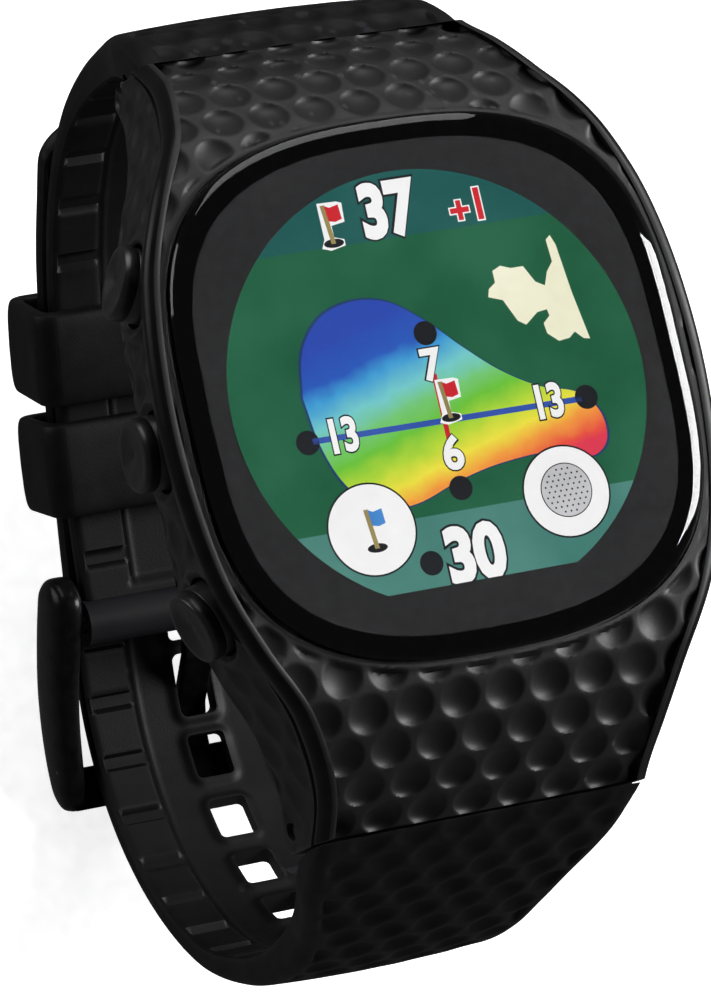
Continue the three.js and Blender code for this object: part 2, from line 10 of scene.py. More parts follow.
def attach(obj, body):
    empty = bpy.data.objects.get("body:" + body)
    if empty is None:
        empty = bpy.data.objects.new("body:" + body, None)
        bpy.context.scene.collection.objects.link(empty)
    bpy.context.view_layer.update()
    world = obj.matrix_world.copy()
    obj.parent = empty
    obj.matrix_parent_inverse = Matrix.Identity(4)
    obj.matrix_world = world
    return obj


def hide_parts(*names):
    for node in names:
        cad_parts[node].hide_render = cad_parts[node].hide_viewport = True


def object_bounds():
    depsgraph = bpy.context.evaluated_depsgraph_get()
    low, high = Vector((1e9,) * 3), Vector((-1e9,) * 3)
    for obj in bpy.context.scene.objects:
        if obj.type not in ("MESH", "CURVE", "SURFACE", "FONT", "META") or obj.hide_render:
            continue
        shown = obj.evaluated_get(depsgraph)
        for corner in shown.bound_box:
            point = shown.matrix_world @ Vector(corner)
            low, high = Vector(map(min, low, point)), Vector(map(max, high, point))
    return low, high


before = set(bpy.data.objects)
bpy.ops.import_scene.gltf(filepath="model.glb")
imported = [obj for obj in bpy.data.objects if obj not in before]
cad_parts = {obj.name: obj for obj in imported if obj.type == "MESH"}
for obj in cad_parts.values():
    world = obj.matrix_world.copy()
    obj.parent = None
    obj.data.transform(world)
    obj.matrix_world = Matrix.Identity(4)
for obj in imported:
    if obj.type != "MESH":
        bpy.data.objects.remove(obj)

cad_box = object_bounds()

# ---------------------------------------------------------------- driving dimensions, millimetres
MM = 0.001
STEP = 0.19                      # mesh spacing on dimpled faces
SKIN = 3.2                       # height of the top cover below its crest
SEAM = 0.2                       # gap between the two case shells

# half sizes, the exponents of the rounded outline, and the centre's y
GLASS = {"x": 19.85, "y": 20.25, "px": 2.6, "py": 3.4, "cy": 0.25}
# inset from the outline, height
GLASS_PROFILE = [(0, 12.2), (0, 12.95), (0.06, 13.15), (0.22, 13.35), (0.5, 13.5), (0.95, 13.61),
                 (1.6, 13.67), (2.6, 13.7), (5.0, 13.7), (12.0, 13.7)]
DISPLAY = {"radius": 16.5, "chord": -14.63, "z": 12.07, "mask_z": 12.19, "layer": 0.012}

# y, height of the case's top line and of its underside
CREST = [(-30.5, 4.0), (-27.3, 7.9), (-23.8, 10.7), (-20.4, 12.4), (-10, 12.85), (0, 12.9), (10, 12.85),
         (20.4, 12.3), (23.8, 10.0), (26.8, 7.0), (29.4, 3.0)]
BELLY = [(-30.5, -4.4), (-29.2, -4.9), (-25.8, -2.2), (-21.5, -0.2), (-19.4, 0.2), (19.4, 0.2),
         (21.5, -0.4), (25.6, -2.9), (28.3, -5.6), (29.4, -5.0)]
# y, half width at the rail and at the side wall; then height, half width of the wall
RAIL_PLAN = [(-31.5, 13.4), (-28, 13.8), (-22.5, 15.7), (-17, 18.6), (-11, 20.7), (0, 21.8), (11, 20.7),
             (17, 18.6), (22.5, 15.7), (28, 13.8), (31.5, 13.4)]
WALL_PLAN = [(-31.5, 13.2), (-28, 13.5), (-22.5, 15.3), (-17, 17.7), (-11, 19.4), (0, 20.4), (11, 19.4),
             (17, 17.7), (22.5, 15.3), (28, 13.5), (31.5, 13.2)]
WALL_SECTION = [(-6, 14.5), (-2, 17.5), (0.2, 19.0), (3.5, 19.9), (7, 20.4), (10, 20.6)]

ROOM = {"half_x": 17.4, "half_y": 18.3, "corner": 12, "low": 2.4, "high": 11.1}       # inside the case
BACK_OPENING = {"half_x": 15.4, "half_y": 16.3, "corner": 11, "low": -3, "high": 3.4}
BACK_RECESS = {"half_x": 17.5, "half_y": 18.7, "corner": 4.5, "low": -9, "high": 1.8}
# play round the glass, height of the ledge that carries it, and how far the ledge reaches in
GLASS_HOLE = {"play": 0.22, "ledge": 11.9, "ledge_width": 2.0}

RAIL = {"radius": 0.9, "crease": 0.75, "drop": 0.12, "hood_drop": 0.26, "tuck": 0.9}
DIMPLE = {"pitch": 3.64, "row": 3.15, "radius": 1.58, "case": 0.5, "wall": 0.34}
HOOD6 = {"x": 0.45, "y": -22.7}  # centre of a dimple in the first full row beyond the glass
HOOD12 = {"x": -0.2, "y": 22.5}

BUTTON_Z = 6.5
BUTTON_WELL = {"radius": 3.15, "depth": 1.7, "bore": 1.35}
BUTTON_GUARD = {"radius": 3.75, "width": 0.42, "height": 0.45}      # raised ring round each well
# x, y and turn of each button's seat, in degrees
BUTTONS = {"up": (-19.0, 12.0, 20), "enter": (-20.4, -0.4, 0), "down": (-19.0, -13.1, -20)}
# radius, height above the seat
BUTTON_PROFILE = [(0, 1.72), (0.5, 1.72), (0.62, 1.8), (1.9, 1.84), (2.1, 1.96), (2.5, 2.0),
                  (2.68, 1.94), (2.78, 1.78), (2.8, 1.5), (2.8, 0.9), (2.74, 0.8), (2.8, 0.7),
                  (2.8, -0.8), (1.1, -0.8), (1.1, -3.5), (0.75, -3.5), (0.75, -4.1), (1.1, -4.1),
                  (1.1, -4.6), (0, -4.6)]

LUG12 = (29.2, -3.5)
LUG6 = (-28.9, -2.5)
TONGUE = 10.6                    # half width of the strap's end between the lugs
TONGUE_ROUND = 1.9
BORES = {"lug": 0.7, "strap": 1.05, "buckle_bar": 0.85, "strap_end": 0.9}
SHORT_HEAD = {"gap": 0.12, "top": 2.1, "bulge": 0.7}
LONG_HEAD = {"gap": 0.18, "top": 3.15, "bulge": 0.16}
STRAP_END = {"radius": 1.9, "half": 10}      # where the short strap turns round the buckle's bar
TANG_SLOT = 1.75                 # half width of the slot for the tang in that end
# height, half width
STRAP_WIDTH = [(-70, 10), (-18, 10), (-12, 10.8), (-5.5, 12.4), (-1, 13.05), (6, 13.25)]
# y, z, thickness along the wrist side
SHORT_ROUTE = [(30.0, -4.8, 3.6), (31.4, -9.5, 3.6), (32.3, -15, 3.4), (32.5, -20, 3.1),
               (31.9, -25, 2.6), (30.4, -29, 2.2), (28.2, -32.4, 2), (25, -35.6, 2), (20.2, -38.8, 2),
               (13.5, -42, 2), (5, -45, 2), (-3.4, -46.9, 2)]
LONG_ROUTE = [(-30.8, -4.6, 3.4), (-32.2, -9.2, 3.5), (-33.8, -14, 3.5), (-35, -18.8, 3.5),
              (-35.8, -25, 3), (-35.3, -31.5, 2.6), (-33.6, -38, 2.3), (-30.5, -43.3, 2.1),
              (-26.1, -47.9, 2), (-21.4, -50.8, 2), (-16.9, -52.2, 2), (-13, -52.5, 2), (-9.2, -52, 2),
              (-5, -50.9, 2), (-0.8, -49.7, 2)]
LAP = {"steps": (51, 46, 41, 36, 32, 28), "gap": 2.35, "tail": 34, "lift": 0.45}
RIB = {"pitch": 5.0, "width": 1.25, "deep": 0.55, "inner": 5.8}
HOLE = {"half": 1.6, "tang_y": -11.3, "tang_long": 5.3, "tang_room": 0.2, "long": 3.8, "pitch": 5.9,
        "corner": 0.6, "narrow": 0.34, "rim": 0.6}
STRAP_EDGE = {"crown": 0.3, "dimple": 0.45}
PIVOT = (-5, -47.9)

BUCKLE_HALF = 11.9
TANG_HALF = 1.3
ARM_OUT = 12.8
ARM_BOW = 0.55
# along a side bar: y, z, half height, inner face
ARM_LINE = [(-1.0, -47.3, 2.3, 10.1), (-3.5, -48.4, 2.8, 10.1), (-7.0, -50.3, 2.85, 10.6),
            (-11.0, -52.5, 2.8, 10.85), (-15.5, -54.7, 2.4, 10.7), (-19.2, -56.0, 1.7, 10.5)]
CROSSBAR = [(-15.9, -55.1), (-15.9, -57.2), (-16.4, -57.4), (-18.2, -57.1), (-19.3, -56.0),
            (-19.5, -54.6)]
TANG = [(-5.2, -47.2), (-9.2, -49.6), (-12.5, -54.2), (-14.6, -55.4), (-18.9, -55.9), (-18.9, -56.9),
        (-14.3, -56.5), (-11.7, -55.0), (-8.5, -50.7), (-5.2, -48.6)]
KEEPER = {"half": 11.9, "open": 10.45, "length": 7.8, "wall": 1.9, "play": 0.55, "stack": 4.35}

CAMERA_TURN = Vector((-0.1694, 0.3661, 0.1970))      # axis times angle, radians
CAMERA_SHIFT = Vector((6.0762, 8.3135, -441.8159))
CAMERA_ORIGIN = 12.5
LENS = 216


# ---------------------------------------------------------------- curves
def smooth_curve(points, steps):
    """Centripetal Catmull-Rom through the points."""
    pts = np.array(points, float)
    ext = np.vstack([2 * pts[0] - pts[1], pts, 2 * pts[-1] - pts[-2]])
    out = []
    for k in range(steps + 1):
        f = k / steps * (len(pts) - 1)
        i = min(int(f), len(pts) - 2)
        w = f - i
        p0, p1, p2, p3 = ext[i:i + 4]
        gaps = [float(np.linalg.norm(b - a)) for a, b in ((p0, p1), (p1, p2), (p2, p3))]
        d0, d1, d2 = (max(gap ** 0.5, 1e-4) for gap in gaps)
        t1 = d1 * ((p1 - p0) / d0 - (p2 - p0) / (d0 + d1) + (p2 - p1) / d1)
        t2 = d1 * ((p2 - p1) / d1 - (p3 - p1) / (d1 + d2) + (p3 - p2) / d2)
        a = 2 * p1 - 2 * p2 + t1 + t2
        b = -3 * p1 + 3 * p2 - 2 * t1 - t2
        out.append(((a * w + b) * w + t1) * w + p1)
    return np.array(out)


def height_of(points, steps=240):
    """The curve as a function of its first coordinate."""
    curve = smooth_curve(points, steps)
    return lambda v: np.interp(v, curve[:, 0], curve[:, 1])


def arc_length(path):
    return np.concatenate([[0], np.cumsum(np.linalg.norm(np.diff(path, axis=0), axis=1))])


def smoothstep(low, high, v):
    t = np.clip((v - low) / (high - low), 0, 1)
    return t * t * (3 - 2 * t)


def dimples(x, s, x0, s0, depth):
    """Depth of the nearest spherical dimple of a hexagonal field."""
    pitch, row, radius = DIMPLE["pitch"], DIMPLE["row"], DIMPLE["radius"]
    place = (s - s0) / row
    nearest = np.full(np.broadcast(x, s).shape, 1e9)
    for k in (np.floor(place), np.floor(place) + 1):
        off = x - x0 - (k % 2) * pitch / 2
        dx = off - np.round(off / pitch) * pitch
        nearest = np.minimum(nearest, dx ** 2 + ((place - k) * row) ** 2)
    ball = (radius ** 2 + depth ** 2) / (2 * depth)
    return np.maximum(np.sqrt(np.maximum(ball ** 2 - nearest, 0)) - (ball - depth), 0)


def rounded_rect(half_x, half_y, corner, steps=8):
    points = []
    for sx, sy, start in ((1, 1, 0), (-1, 1, 90), (-1, -1, 180), (1, -1, 270)):
        for k in range(steps + 1):
            a = math.radians(start + 90 * k / steps)
            x = sx * (half_x - corner) + corner * math.cos(a)
            y = sy * (half_y - corner) + corner * math.sin(a)
            points.append((x, y))
    return points


def circle(radius, x=0.0, y=0.0, steps=32):
    angles = [2 * math.pi * k / steps for k in range(steps)]
    return [(x + radius * math.cos(a), y + radius * math.sin(a)) for a in angles]


def glass_outline(inset=0.0, steps=192):
    a = 2 * np.pi * np.arange(steps) / steps
    c, s = np.cos(a), np.sin(a)
    x = np.sign(c) * (GLASS["x"] - inset) * np.abs(c) ** (2 / GLASS["px"])
    y = np.sign(s) * (GLASS["y"] - inset) * np.abs(s) ** (2 / GLASS["py"]) + GLASS["cy"]
    return np.stack([x, y], 1)


def display_outline(grow=0.0, steps=96):
    radius, chord = DISPLAY["radius"] + grow, DISPLAY["chord"] - grow
    start = math.asin(chord / radius)
    angles = np.linspace(start, math.pi - start, steps)
    return [(radius * math.cos(a), radius * math.sin(a)) for a in angles]


# ---------------------------------------------------------------- meshes
def new_object(name, verts, faces):
    mesh = bpy.data.meshes.new(name)
    mesh.from_pydata([tuple(v) for v in np.asarray(verts, float) * MM], [], faces)
    bm = bmesh.new()
    bm.from_mesh(mesh)
    bmesh.ops.recalc_face_normals(bm, faces=bm.faces)
    bm.to_mesh(mesh)
    bm.free()
    obj = bpy.data.objects.new(name, mesh)
    bpy.context.scene.collection.objects.link(obj)
    shade(obj)
    return obj


def shade(obj, angle=35):
    obj.data.shade_smooth()
    obj.data.set_sharp_from_angle(angle=math.radians(angle))


def loft(name, rings, around=False):
    """Closed solid through rings of points; around joins the last ring to the first."""
    rings = np.asarray(rings, float)
    n, m = rings.shape[:2]
    rows = np.arange(n if around else n - 1)[:, None]
    cols = np.arange(m)[None, :]
    nxt_row, nxt_col = (rows + 1) % n, (cols + 1) % m
    quads = np.stack([rows * m + cols, rows * m + nxt_col, nxt_row * m + nxt_col, nxt_row * m + cols], -1)
    faces = quads.reshape(-1, 4).tolist()
    verts = rings.reshape(-1, 3)
    if not around:
        verts = np.vstack([verts, rings[0].mean(0), rings[-1].mean(0)])
        for j in range(m):
            k = (j + 1) % m
            faces.append((n * m, k, j))
            faces.append((n * m + 1, (n - 1) * m + j, (n - 1) * m + k))
    return new_object(name, verts, faces)


def prism(points, low, high, place=None, name="cutter", shrink=1.0):
    """Prism from (a, b) points, extruded along c, its far end scaled; place maps (a, b, c) to the frame."""
    pts = np.array([(a * k, b * k, c) for c, k in ((low, 1.0), (high, shrink)) for a, b in points], float)
    n = len(points)
    if place is not None:
        matrix = np.array(place, float)
        pts = pts @ matrix[:3, :3].T + matrix[:3, 3]
    flat = tessellate_polygon([[Vector((a, b, 0)) for a, b in points]])
    faces = [tuple(t) for t in flat] + [tuple(n + i for i in reversed(t)) for t in flat]
    faces += [(i, (i + 1) % n, n + (i + 1) % n, n + i) for i in range(n)]
    return new_object(name, pts, faces)


ALONG_X = Matrix(((0, 0, 1, 0), (1, 0, 0, 0), (0, 1, 0, 0), (0, 0, 0, 1)))     # (a, b, c) = (y, z, x)


def box(low, high):
    outline = [(low[0], low[1]), (high[0], low[1]), (high[0], high[1]), (low[0], high[1])]
    return prism(outline, low[2], high[2])


def pocket(room):
    """A rounded cutter with the sizes and heights of room."""
    return prism(rounded_rect(room["half_x"], room["half_y"], room["corner"]), room["low"], room["high"])


def rod_x(radius, low, high, centre, steps=32):
    return prism(circle(radius, *centre, steps), low, high, ALONG_X)


def lathe(name, profile, place, steps=56):
    """Turns (radius, height) points round c; place maps (a, b, c) to the frame."""
    rings = [[(a, b, h) for a, b in circle(max(radius, 0.01), steps=steps)] for radius, h in profile]
    matrix = np.array(place, float)
    return loft(name, np.array(rings) @ matrix[:3, :3].T + matrix[:3, 3])


def combine(obj, others, operation):
    """Boolean of obj with each of the others, which are used up."""
    for other in others:
        mod = obj.modifiers.new("combine", "BOOLEAN")
        mod.operation = operation
        mod.solver = "MANIFOLD"
        mod.object = other
    settle(obj)
    for other in others:
        bpy.data.objects.remove(other)
    return obj


def settle(obj, angle=35):
    """Bakes the modifiers into the mesh."""
    bpy.context.view_layer.update()
    graph = bpy.context.evaluated_depsgraph_get()
    mesh = bpy.data.meshes.new_from_object(obj.evaluated_get(graph))
    obj.modifiers.clear()
    obj.data = mesh
    shade(obj, angle)
    return obj


def soften(obj, voxel, rounds, angle=60):
    """Rounds a hard-edged solid off by rebuilding it from small cubes and relaxing them."""
    mod = obj.modifiers.new("voxels", "REMESH")
    mod.mode = "VOXEL"
    mod.voxel_size = voxel * MM
    relax = obj.modifiers.new("relax", "SMOOTH")
    relax.iterations = rounds
    relax.factor = 0.5
    return settle(obj, angle)


# ---------------------------------------------------------------- materials
def linear(colour):
    """Linear RGBA of an sRGB colour given as 0 to 255."""
    parts = [c / 255 for c in colour]
    return (*[v / 12.92 if v <= 0.04 else ((v + 0.055) / 1.055) ** 2.4 for v in parts], 1.0)


def noise(nodes, links, coords, scale, detail=4.0, stretch=None):
    node = nodes.new("ShaderNodeTexNoise")
    node.inputs["Scale"].default_value = scale
    node.inputs["Detail"].default_value = detail
    if stretch:
        mapping = nodes.new("ShaderNodeMapping")
        mapping.inputs["Scale"].default_value = stretch
        links.new(coords, mapping.inputs["Vector"])
        links.new(mapping.outputs["Vector"], node.inputs["Vector"])
    else:
        links.new(coords, node.inputs["Vector"])
    return node.outputs["Fac"]


def ramp(nodes, links, source, stops):
    node = nodes.new("ShaderNodeValToRGB")
    while len(node.color_ramp.elements) < len(stops):
        node.color_ramp.elements.new(0.5)
    for element, (at, colour) in zip(node.color_ramp.elements, stops):
        element.position = at
        element.color = colour
    links.new(source, node.inputs["Fac"])
    return node.outputs["Color"]


def spread(nodes, links, source, low, high):
    node = nodes.new("ShaderNodeMapRange")
    node.inputs["From Min"].default_value = 0.3
    node.inputs["From Max"].default_value = 0.7
    node.inputs["To Min"].default_value = low
    node.inputs["To Max"].default_value = high
    links.new(source, node.inputs["Value"])
    return node.outputs["Result"]


def surface(name, dark, light, rough, grain=0.15, grain_scale=5000, metal=0.0, edge_wear_and_highlight=None, stretch=None,
            glow=0.0, clear=0.0, level=0.5):
    """A material whose colour, roughness and relief vary; its edge colour lightens convex edges, partly as
    wear and partly as painted highlight.
    """
    material = bpy.data.materials.new(name)
    material.use_nodes = True
    nodes, links = material.node_tree.nodes, material.node_tree.links
    shader = nodes["Principled BSDF"]
    coords = nodes.new("ShaderNodeTexCoord").outputs["Object"]
    mottle = noise(nodes, links, coords, 900, stretch=stretch)
    colour = ramp(nodes, links, mottle, [(0.32, linear(dark)), (0.68, linear(light))])
    # painted highlight mixed with wear: convex edges, found by pointiness, are lightened towards the given
    # edge colour
    if edge_wear_and_highlight:
        geometry = nodes.new("ShaderNodeNewGeometry")
        stops = [(0.52, (0, 0, 0, 1)), (0.62, (1, 1, 1, 1))]
        edge = ramp(nodes, links, geometry.outputs["Pointiness"], stops)
        mix = nodes.new("ShaderNodeMix")
        mix.data_type = "RGBA"
        links.new(edge, mix.inputs[0])
        links.new(colour, mix.inputs[6])
        mix.inputs[7].default_value = linear(edge_wear_and_highlight)
        colour = mix.outputs[2]
    links.new(colour, shader.inputs["Base Color"])
    smudge = noise(nodes, links, coords, 260, 6, stretch)
    links.new(spread(nodes, links, smudge, rough[0], rough[1]), shader.inputs["Roughness"])
    bump = nodes.new("ShaderNodeBump")
    bump.inputs["Strength"].default_value = grain
    bump.inputs["Distance"].default_value = 0.00004
    links.new(noise(nodes, links, coords, grain_scale, 3, stretch), bump.inputs["Height"])
    links.new(bump.outputs["Normal"], shader.inputs["Normal"])
    shader.inputs["Metallic"].default_value = metal
    shader.inputs["Specular IOR Level"].default_value = level
    shader.inputs["Transmission Weight"].default_value = clear
    if glow:
        links.new(colour, shader.inputs["Emission Color"])
        shader.inputs["Emission Strength"].default_value = glow
    return material


# the last colour given to shell, rubber, button and black steel lightens their convex edges and dimple rims:
# part wear, part painted highlight
SHELL = surface("shell_black", (11, 11, 12), (18, 18, 19), (0.47, 0.6), 0.3, 7000, edge_wear_and_highlight=(40, 40, 42),
                level=0.5)
RAIL_SATIN = surface("rail_satin", (8, 8, 9), (14, 14, 15), (0.28, 0.4), 0.1, 6000, level=0.2)
RUBBER = surface("strap_rubber", (9, 9, 10), (14, 14, 16), (0.45, 0.6), 0.35, 6000, edge_wear_and_highlight=(30, 30, 33),
                 level=0.18)
CAP = surface("button_black", (10, 10, 11), (17, 17, 18), (0.3, 0.4), 0.15, 6000, edge_wear_and_highlight=(30, 30, 33),
              level=0.8)
BLACK_STEEL = surface("black_steel", (12, 12, 13), (22, 22, 24), (0.22, 0.34), 0.15, 2500, 0.4, (56, 56, 60),
                      level=0.25)
BRIGHT_STEEL = surface("bright_steel", (120, 122, 126), (190, 192, 196), (0.22, 0.4), 0.3, 1500, 1.0,
                       stretch=(0.06, 1, 1))
GOLD = surface("gold_plate", (176, 130, 52), (222, 178, 92), (0.2, 0.4), 0.2, 3000, 1.0)
SEAL = surface("seal_rubber", (26, 27, 29), (42, 43, 45), (0.6, 0.8), 0.3, 3000)
WHITE = surface("white_part", (196, 198, 198), (222, 224, 224), (0.45, 0.65), 0.2, 3000)
BOARD = surface("circuit_board", (10, 66, 40), (22, 96, 58), (0.35, 0.55), 0.4, 1800)
FLEX = surface("flex_film", (150, 96, 30), (196, 138, 58), (0.35, 0.5), 0.2, 2500)
PANEL = surface("panel_dark", (12, 14, 16), (20, 22, 24), (0.2, 0.35), 0.1, 2500)
MASK = surface("mask_black", (50, 50, 52), (57, 57, 60), (0.5, 0.65), 0.05, 3000, level=0.2)
GLASS_CLEAR = surface("glass_clear", (250, 250, 250), (255, 255, 255), (0.01, 0.035), 0.01, 1200,
                      clear=1.0)


# ---------------------------------------------------------------- case shells
crest = height_of(CREST)
belly = height_of(BELLY)
rail_plan = height_of(RAIL_PLAN)
wall_plan = height_of(WALL_PLAN)
wall_section = height_of(WALL_SECTION)
END12, END6 = CREST[-1][0], CREST[0][0]


def crest_rows(step):
    """Values of y with equal steps along the crest, their distance along it, and its slope."""
    y = np.linspace(END6, END12, 1200)
    s = arc_length(np.stack([y, crest(y)], 1))
    s -= np.interp(0, y, s)
    rows = np.linspace(s[0], s[-1], int((s[-1] - s[0]) / step))
    ys = np.interp(rows, s, y)
    slope = np.interp(ys, y, np.gradient(crest(y), y))
    return ys, rows, slope


def hood_dimples(x, y, s, s_of):
    towards6 = dimples(x, s, HOOD6["x"], s_of(HOOD6["y"]), DIMPLE["case"])
    towards12 = dimples(x, s, HOOD12["x"], s_of(HOOD12["y"]), DIMPLE["case"])
    return np.where(y < 0, towards6, towards12)


def build_top_cover():
    rows_y, rows_s, slope = crest_rows(STEP)

    def s_of(v):
        return np.interp(v, rows_y, rows_s)

    half = rail_plan(rows_y)[:, None]
    y, s = rows_y[:, None], rows_s[:, None]
    steep = np.sqrt(1 + slope[:, None] ** 2)
    hood = smoothstep(14, 24, np.abs(y))
    drop = RAIL["drop"] + (RAIL["hood_drop"] - RAIL["drop"]) * hood
    face_half = half - RAIL["crease"]
    u = np.linspace(-1, 1, int(2 * 19.9 / STEP))[None, :]
    x = u * face_half
    beyond = (np.abs(x) / GLASS["x"]) ** GLASS["px"] + (np.abs(y - GLASS["cy"]) / GLASS["y"]) ** GLASS["py"]
    beyond = (beyond ** (1 / 3) - 1) * 20
    edge = face_half - np.abs(x)
    mask = smoothstep(0.55, 0.8, beyond) * smoothstep(0.0, 0.3, edge)
    face = -drop - 0.12 - 0.3 * hood * u ** 2 - mask * hood_dimples(x, y, s, s_of)
    face = face + 0.18 * np.exp(-((beyond - 0.35) / 0.3) ** 2) * hood - 0.12 * np.exp(-(edge / 0.16) ** 2)
    radius = RAIL["radius"]
    a = np.radians(np.linspace(104, 0, 15))[None, :]
    bead_x = half - radius + radius * np.cos(a)
    bead_h = -drop - radius + radius * np.sin(a)
    t = np.linspace(0.2, 1, 6)[None, :]
    side_x = half - RAIL["tuck"] * t ** 2
    side_h = (-drop - radius) * (1 - t) - SKIN / steep * t
    base_x = np.linspace(1, -1, 13)[None, 1:-1] * (half - RAIL["tuck"])
    base_h = np.broadcast_to(-SKIN / steep, base_x.shape)
    xs = np.hstack([x, bead_x, side_x, base_x, -side_x[:, ::-1], -bead_x[:, ::-1]])
    hs = np.hstack([face, bead_h, side_h, base_h, side_h[:, ::-1], bead_h[:, ::-1]])
    ys = np.broadcast_to(y, xs.shape)
    zs = crest(ys) + hs * steep
    cover = loft("top_cover_shell", np.stack([xs, ys, zs], -1))
    opening = prism(glass_outline(-GLASS_HOLE["play"], 160).tolist(), GLASS_HOLE["ledge"], 30)
    through = prism(glass_outline(GLASS_HOLE["ledge_width"], 160).tolist(), 5, 30)
    combine(cover, [opening, through, pocket(ROOM)], "DIFFERENCE")
    cover.data.materials.clear()
    cover.data.materials.append(SHELL)
    cover.data.materials.append(RAIL_SATIN)
    for face_ in cover.data.polygons:
        c = face_.center / MM
        if float(rail_plan(c.y)) - abs(c.x) < RAIL["crease"] - 0.05:
            face_.material_index = 1
    return cover


def button_place(key):
    x, y, turn = BUTTONS[key]
    outward = Vector((-math.cos(math.radians(turn)), math.sin(math.radians(turn)), 0))
    up = Vector((0, 0, 1))
    side = up.cross(outward)
    place = Matrix.Identity(4)
    for row in range(3):
        place[row][0], place[row][1], place[row][2] = side[row], up[row], outward[row]
    place[0][3], place[1][3], place[2][3] = x, y, BUTTON_Z
    return place


def from_buttons(y, z):
    """How far a point of the side wall is from the centre of the nearest button."""
    near = np.full(z.shape, 99.0)
    for _, button_y, turn in BUTTONS.values():
        along = (y - button_y) / math.cos(math.radians(turn))
        near = np.minimum(near, np.sqrt(along ** 2 + (z - BUTTON_Z) ** 2))
    return near


def build_mid_case():
    y = np.linspace(END6, END12, int((END12 - END6) / 0.24))[:, None]
    top = crest(y) - SKIN - SEAM
    low = belly(y)
    t = np.linspace(0, 1, 56)[None, :]
    z = top + (low - top) * t
    plan, section = wall_plan(y), wall_section(z)
    sharp = 2.2
    x = -np.log(np.exp(-sharp * (plan - 10)) + np.exp(-sharp * (section - 10))) / sharp + 10
    x = np.minimum(x + 0.12, plan)
    up_from_low = z - low
    round_low = 1.0
    into_round = np.maximum(round_low - up_from_low, 0)
    x = x - round_low + np.sqrt(np.maximum(round_low ** 2 - into_round ** 2, 0.04))
    near = from_buttons(y, z)
    from_ring = (near - BUTTON_GUARD["radius"]) / BUTTON_GUARD["width"]
    guard = BUTTON_GUARD["height"] * np.exp(-from_ring ** 2)
    inside = smoothstep(0.3, 0.6, top - z) * smoothstep(0.5, 0.9, up_from_low)
    inside = inside * smoothstep(30.2, 28.2, np.abs(y))
    hollow = inside * dimples(y, z, 0.6, 5.0, DIMPLE["wall"])
    right = x - hollow
    left = x - hollow * smoothstep(4.3, 4.9, near) + guard
    across = np.linspace(1, -1, 9)[None, 1:-1]
    low_x = across * x[:, -1:]
    top_x = -across * x[:, :1]
    xs = np.hstack([right, low_x, -left[:, ::-1], top_x])
    zs = np.hstack([z, np.broadcast_to(low, low_x.shape), z[:, ::-1], np.broadcast_to(top, top_x.shape)])
    ys = np.broadcast_to(y, xs.shape)
    case = loft("mid_case_shell", np.stack([xs, ys, zs], -1))
    lug_gap = TONGUE + 0.3
    cutters = [
        pocket({**ROOM, "high": 20}),
        pocket(BACK_OPENING),
        pocket(BACK_RECESS),
        rod_x(BORES["lug"], -30, 30, LUG12, 20),
        rod_x(BORES["lug"], -30, 30, LUG6, 20),
        box((-lug_gap, 26.5, -20), (lug_gap, 40, -0.6)),
        box((-lug_gap, -40, -20), (lug_gap, -26.5, -0.6)),
    ]
    for key in BUTTONS:
        well = circle(BUTTON_WELL["radius"], steps=48)
        bore = circle(BUTTON_WELL["bore"], steps=24)
        cutters.append(prism(well, -BUTTON_WELL["depth"], 8, button_place(key)))
        cutters.append(prism(bore, -8, 1, button_place(key)))
    return combine(case, cutters, "DIFFERENCE")


# ---------------------------------------------------------------- straps
def band(route, steps, outwards):
    p = smooth_curve(route, steps)
    d = np.gradient(p[:, :2], axis=0)
    d /= np.linalg.norm(d, axis=1)[:, None]
    inner = p[:, :2]
    outer = inner + outwards * np.stack([d[:, 1], -d[:, 0]], 1) * p[:, 2:3]
    return inner, outer


short_inner, short_outer = band(SHORT_ROUTE, 60, -1)


def lap_route():
    points = []
    for i in LAP["steps"]:
        n = short_outer[i] - short_inner[i]
        n = n / np.linalg.norm(n)
        lift = LAP["lift"] if i < LAP["tail"] else 0
        p = short_inner[i] + n * (LAP["gap"] + lift)
        points.append((p[0], p[1], 2))
    return points


long_inner, long_outer = band(LONG_ROUTE + lap_route(), 120, 1)
strap_width = height_of(STRAP_WIDTH)


def with_head(inner, outer, side, end, head, lug):
    """Adds the wedge between the case's end face and the strap, on the side where y grows by side."""
    face = end + side * head["gap"]
    heel = outer[0]
    wedge = []
    for share in (0.0, 0.3, 0.62):
        swell = side * head["bulge"] * math.sin(math.pi * share)
        wedge.append((face, lug[1] + 1.0 - 1.6 * share, face + share * (heel[0] - face) + swell,
                      head["top"] + share * (heel[1] - head["top"])))
    pairs = np.vstack([np.array(wedge), np.hstack([inner, outer])])
    pairs = smooth_curve(pairs, len(pairs) * 6)
    s = arc_length(pairs[:, 2:])
    even = np.linspace(0, s[-1], int(s[-1] / 0.24))
    return np.stack([np.interp(even, s, pairs[:, k]) for k in range(4)], 1)


def holes_along(inner):
    """Where the holes are along the wrist side, and how long each one is."""
    s = arc_length(inner)
    low = inner[:, 1] < -30
    first = int(np.argmax(low & (inner[:, 0] > HOLE["tang_y"])))
    holes = [(s[first] + k * HOLE["pitch"], HOLE["long"]) for k in range(-5, 2) if k != 0]
    return s, holes + [(s[first] + HOLE["tang_room"], HOLE["tang_long"])]


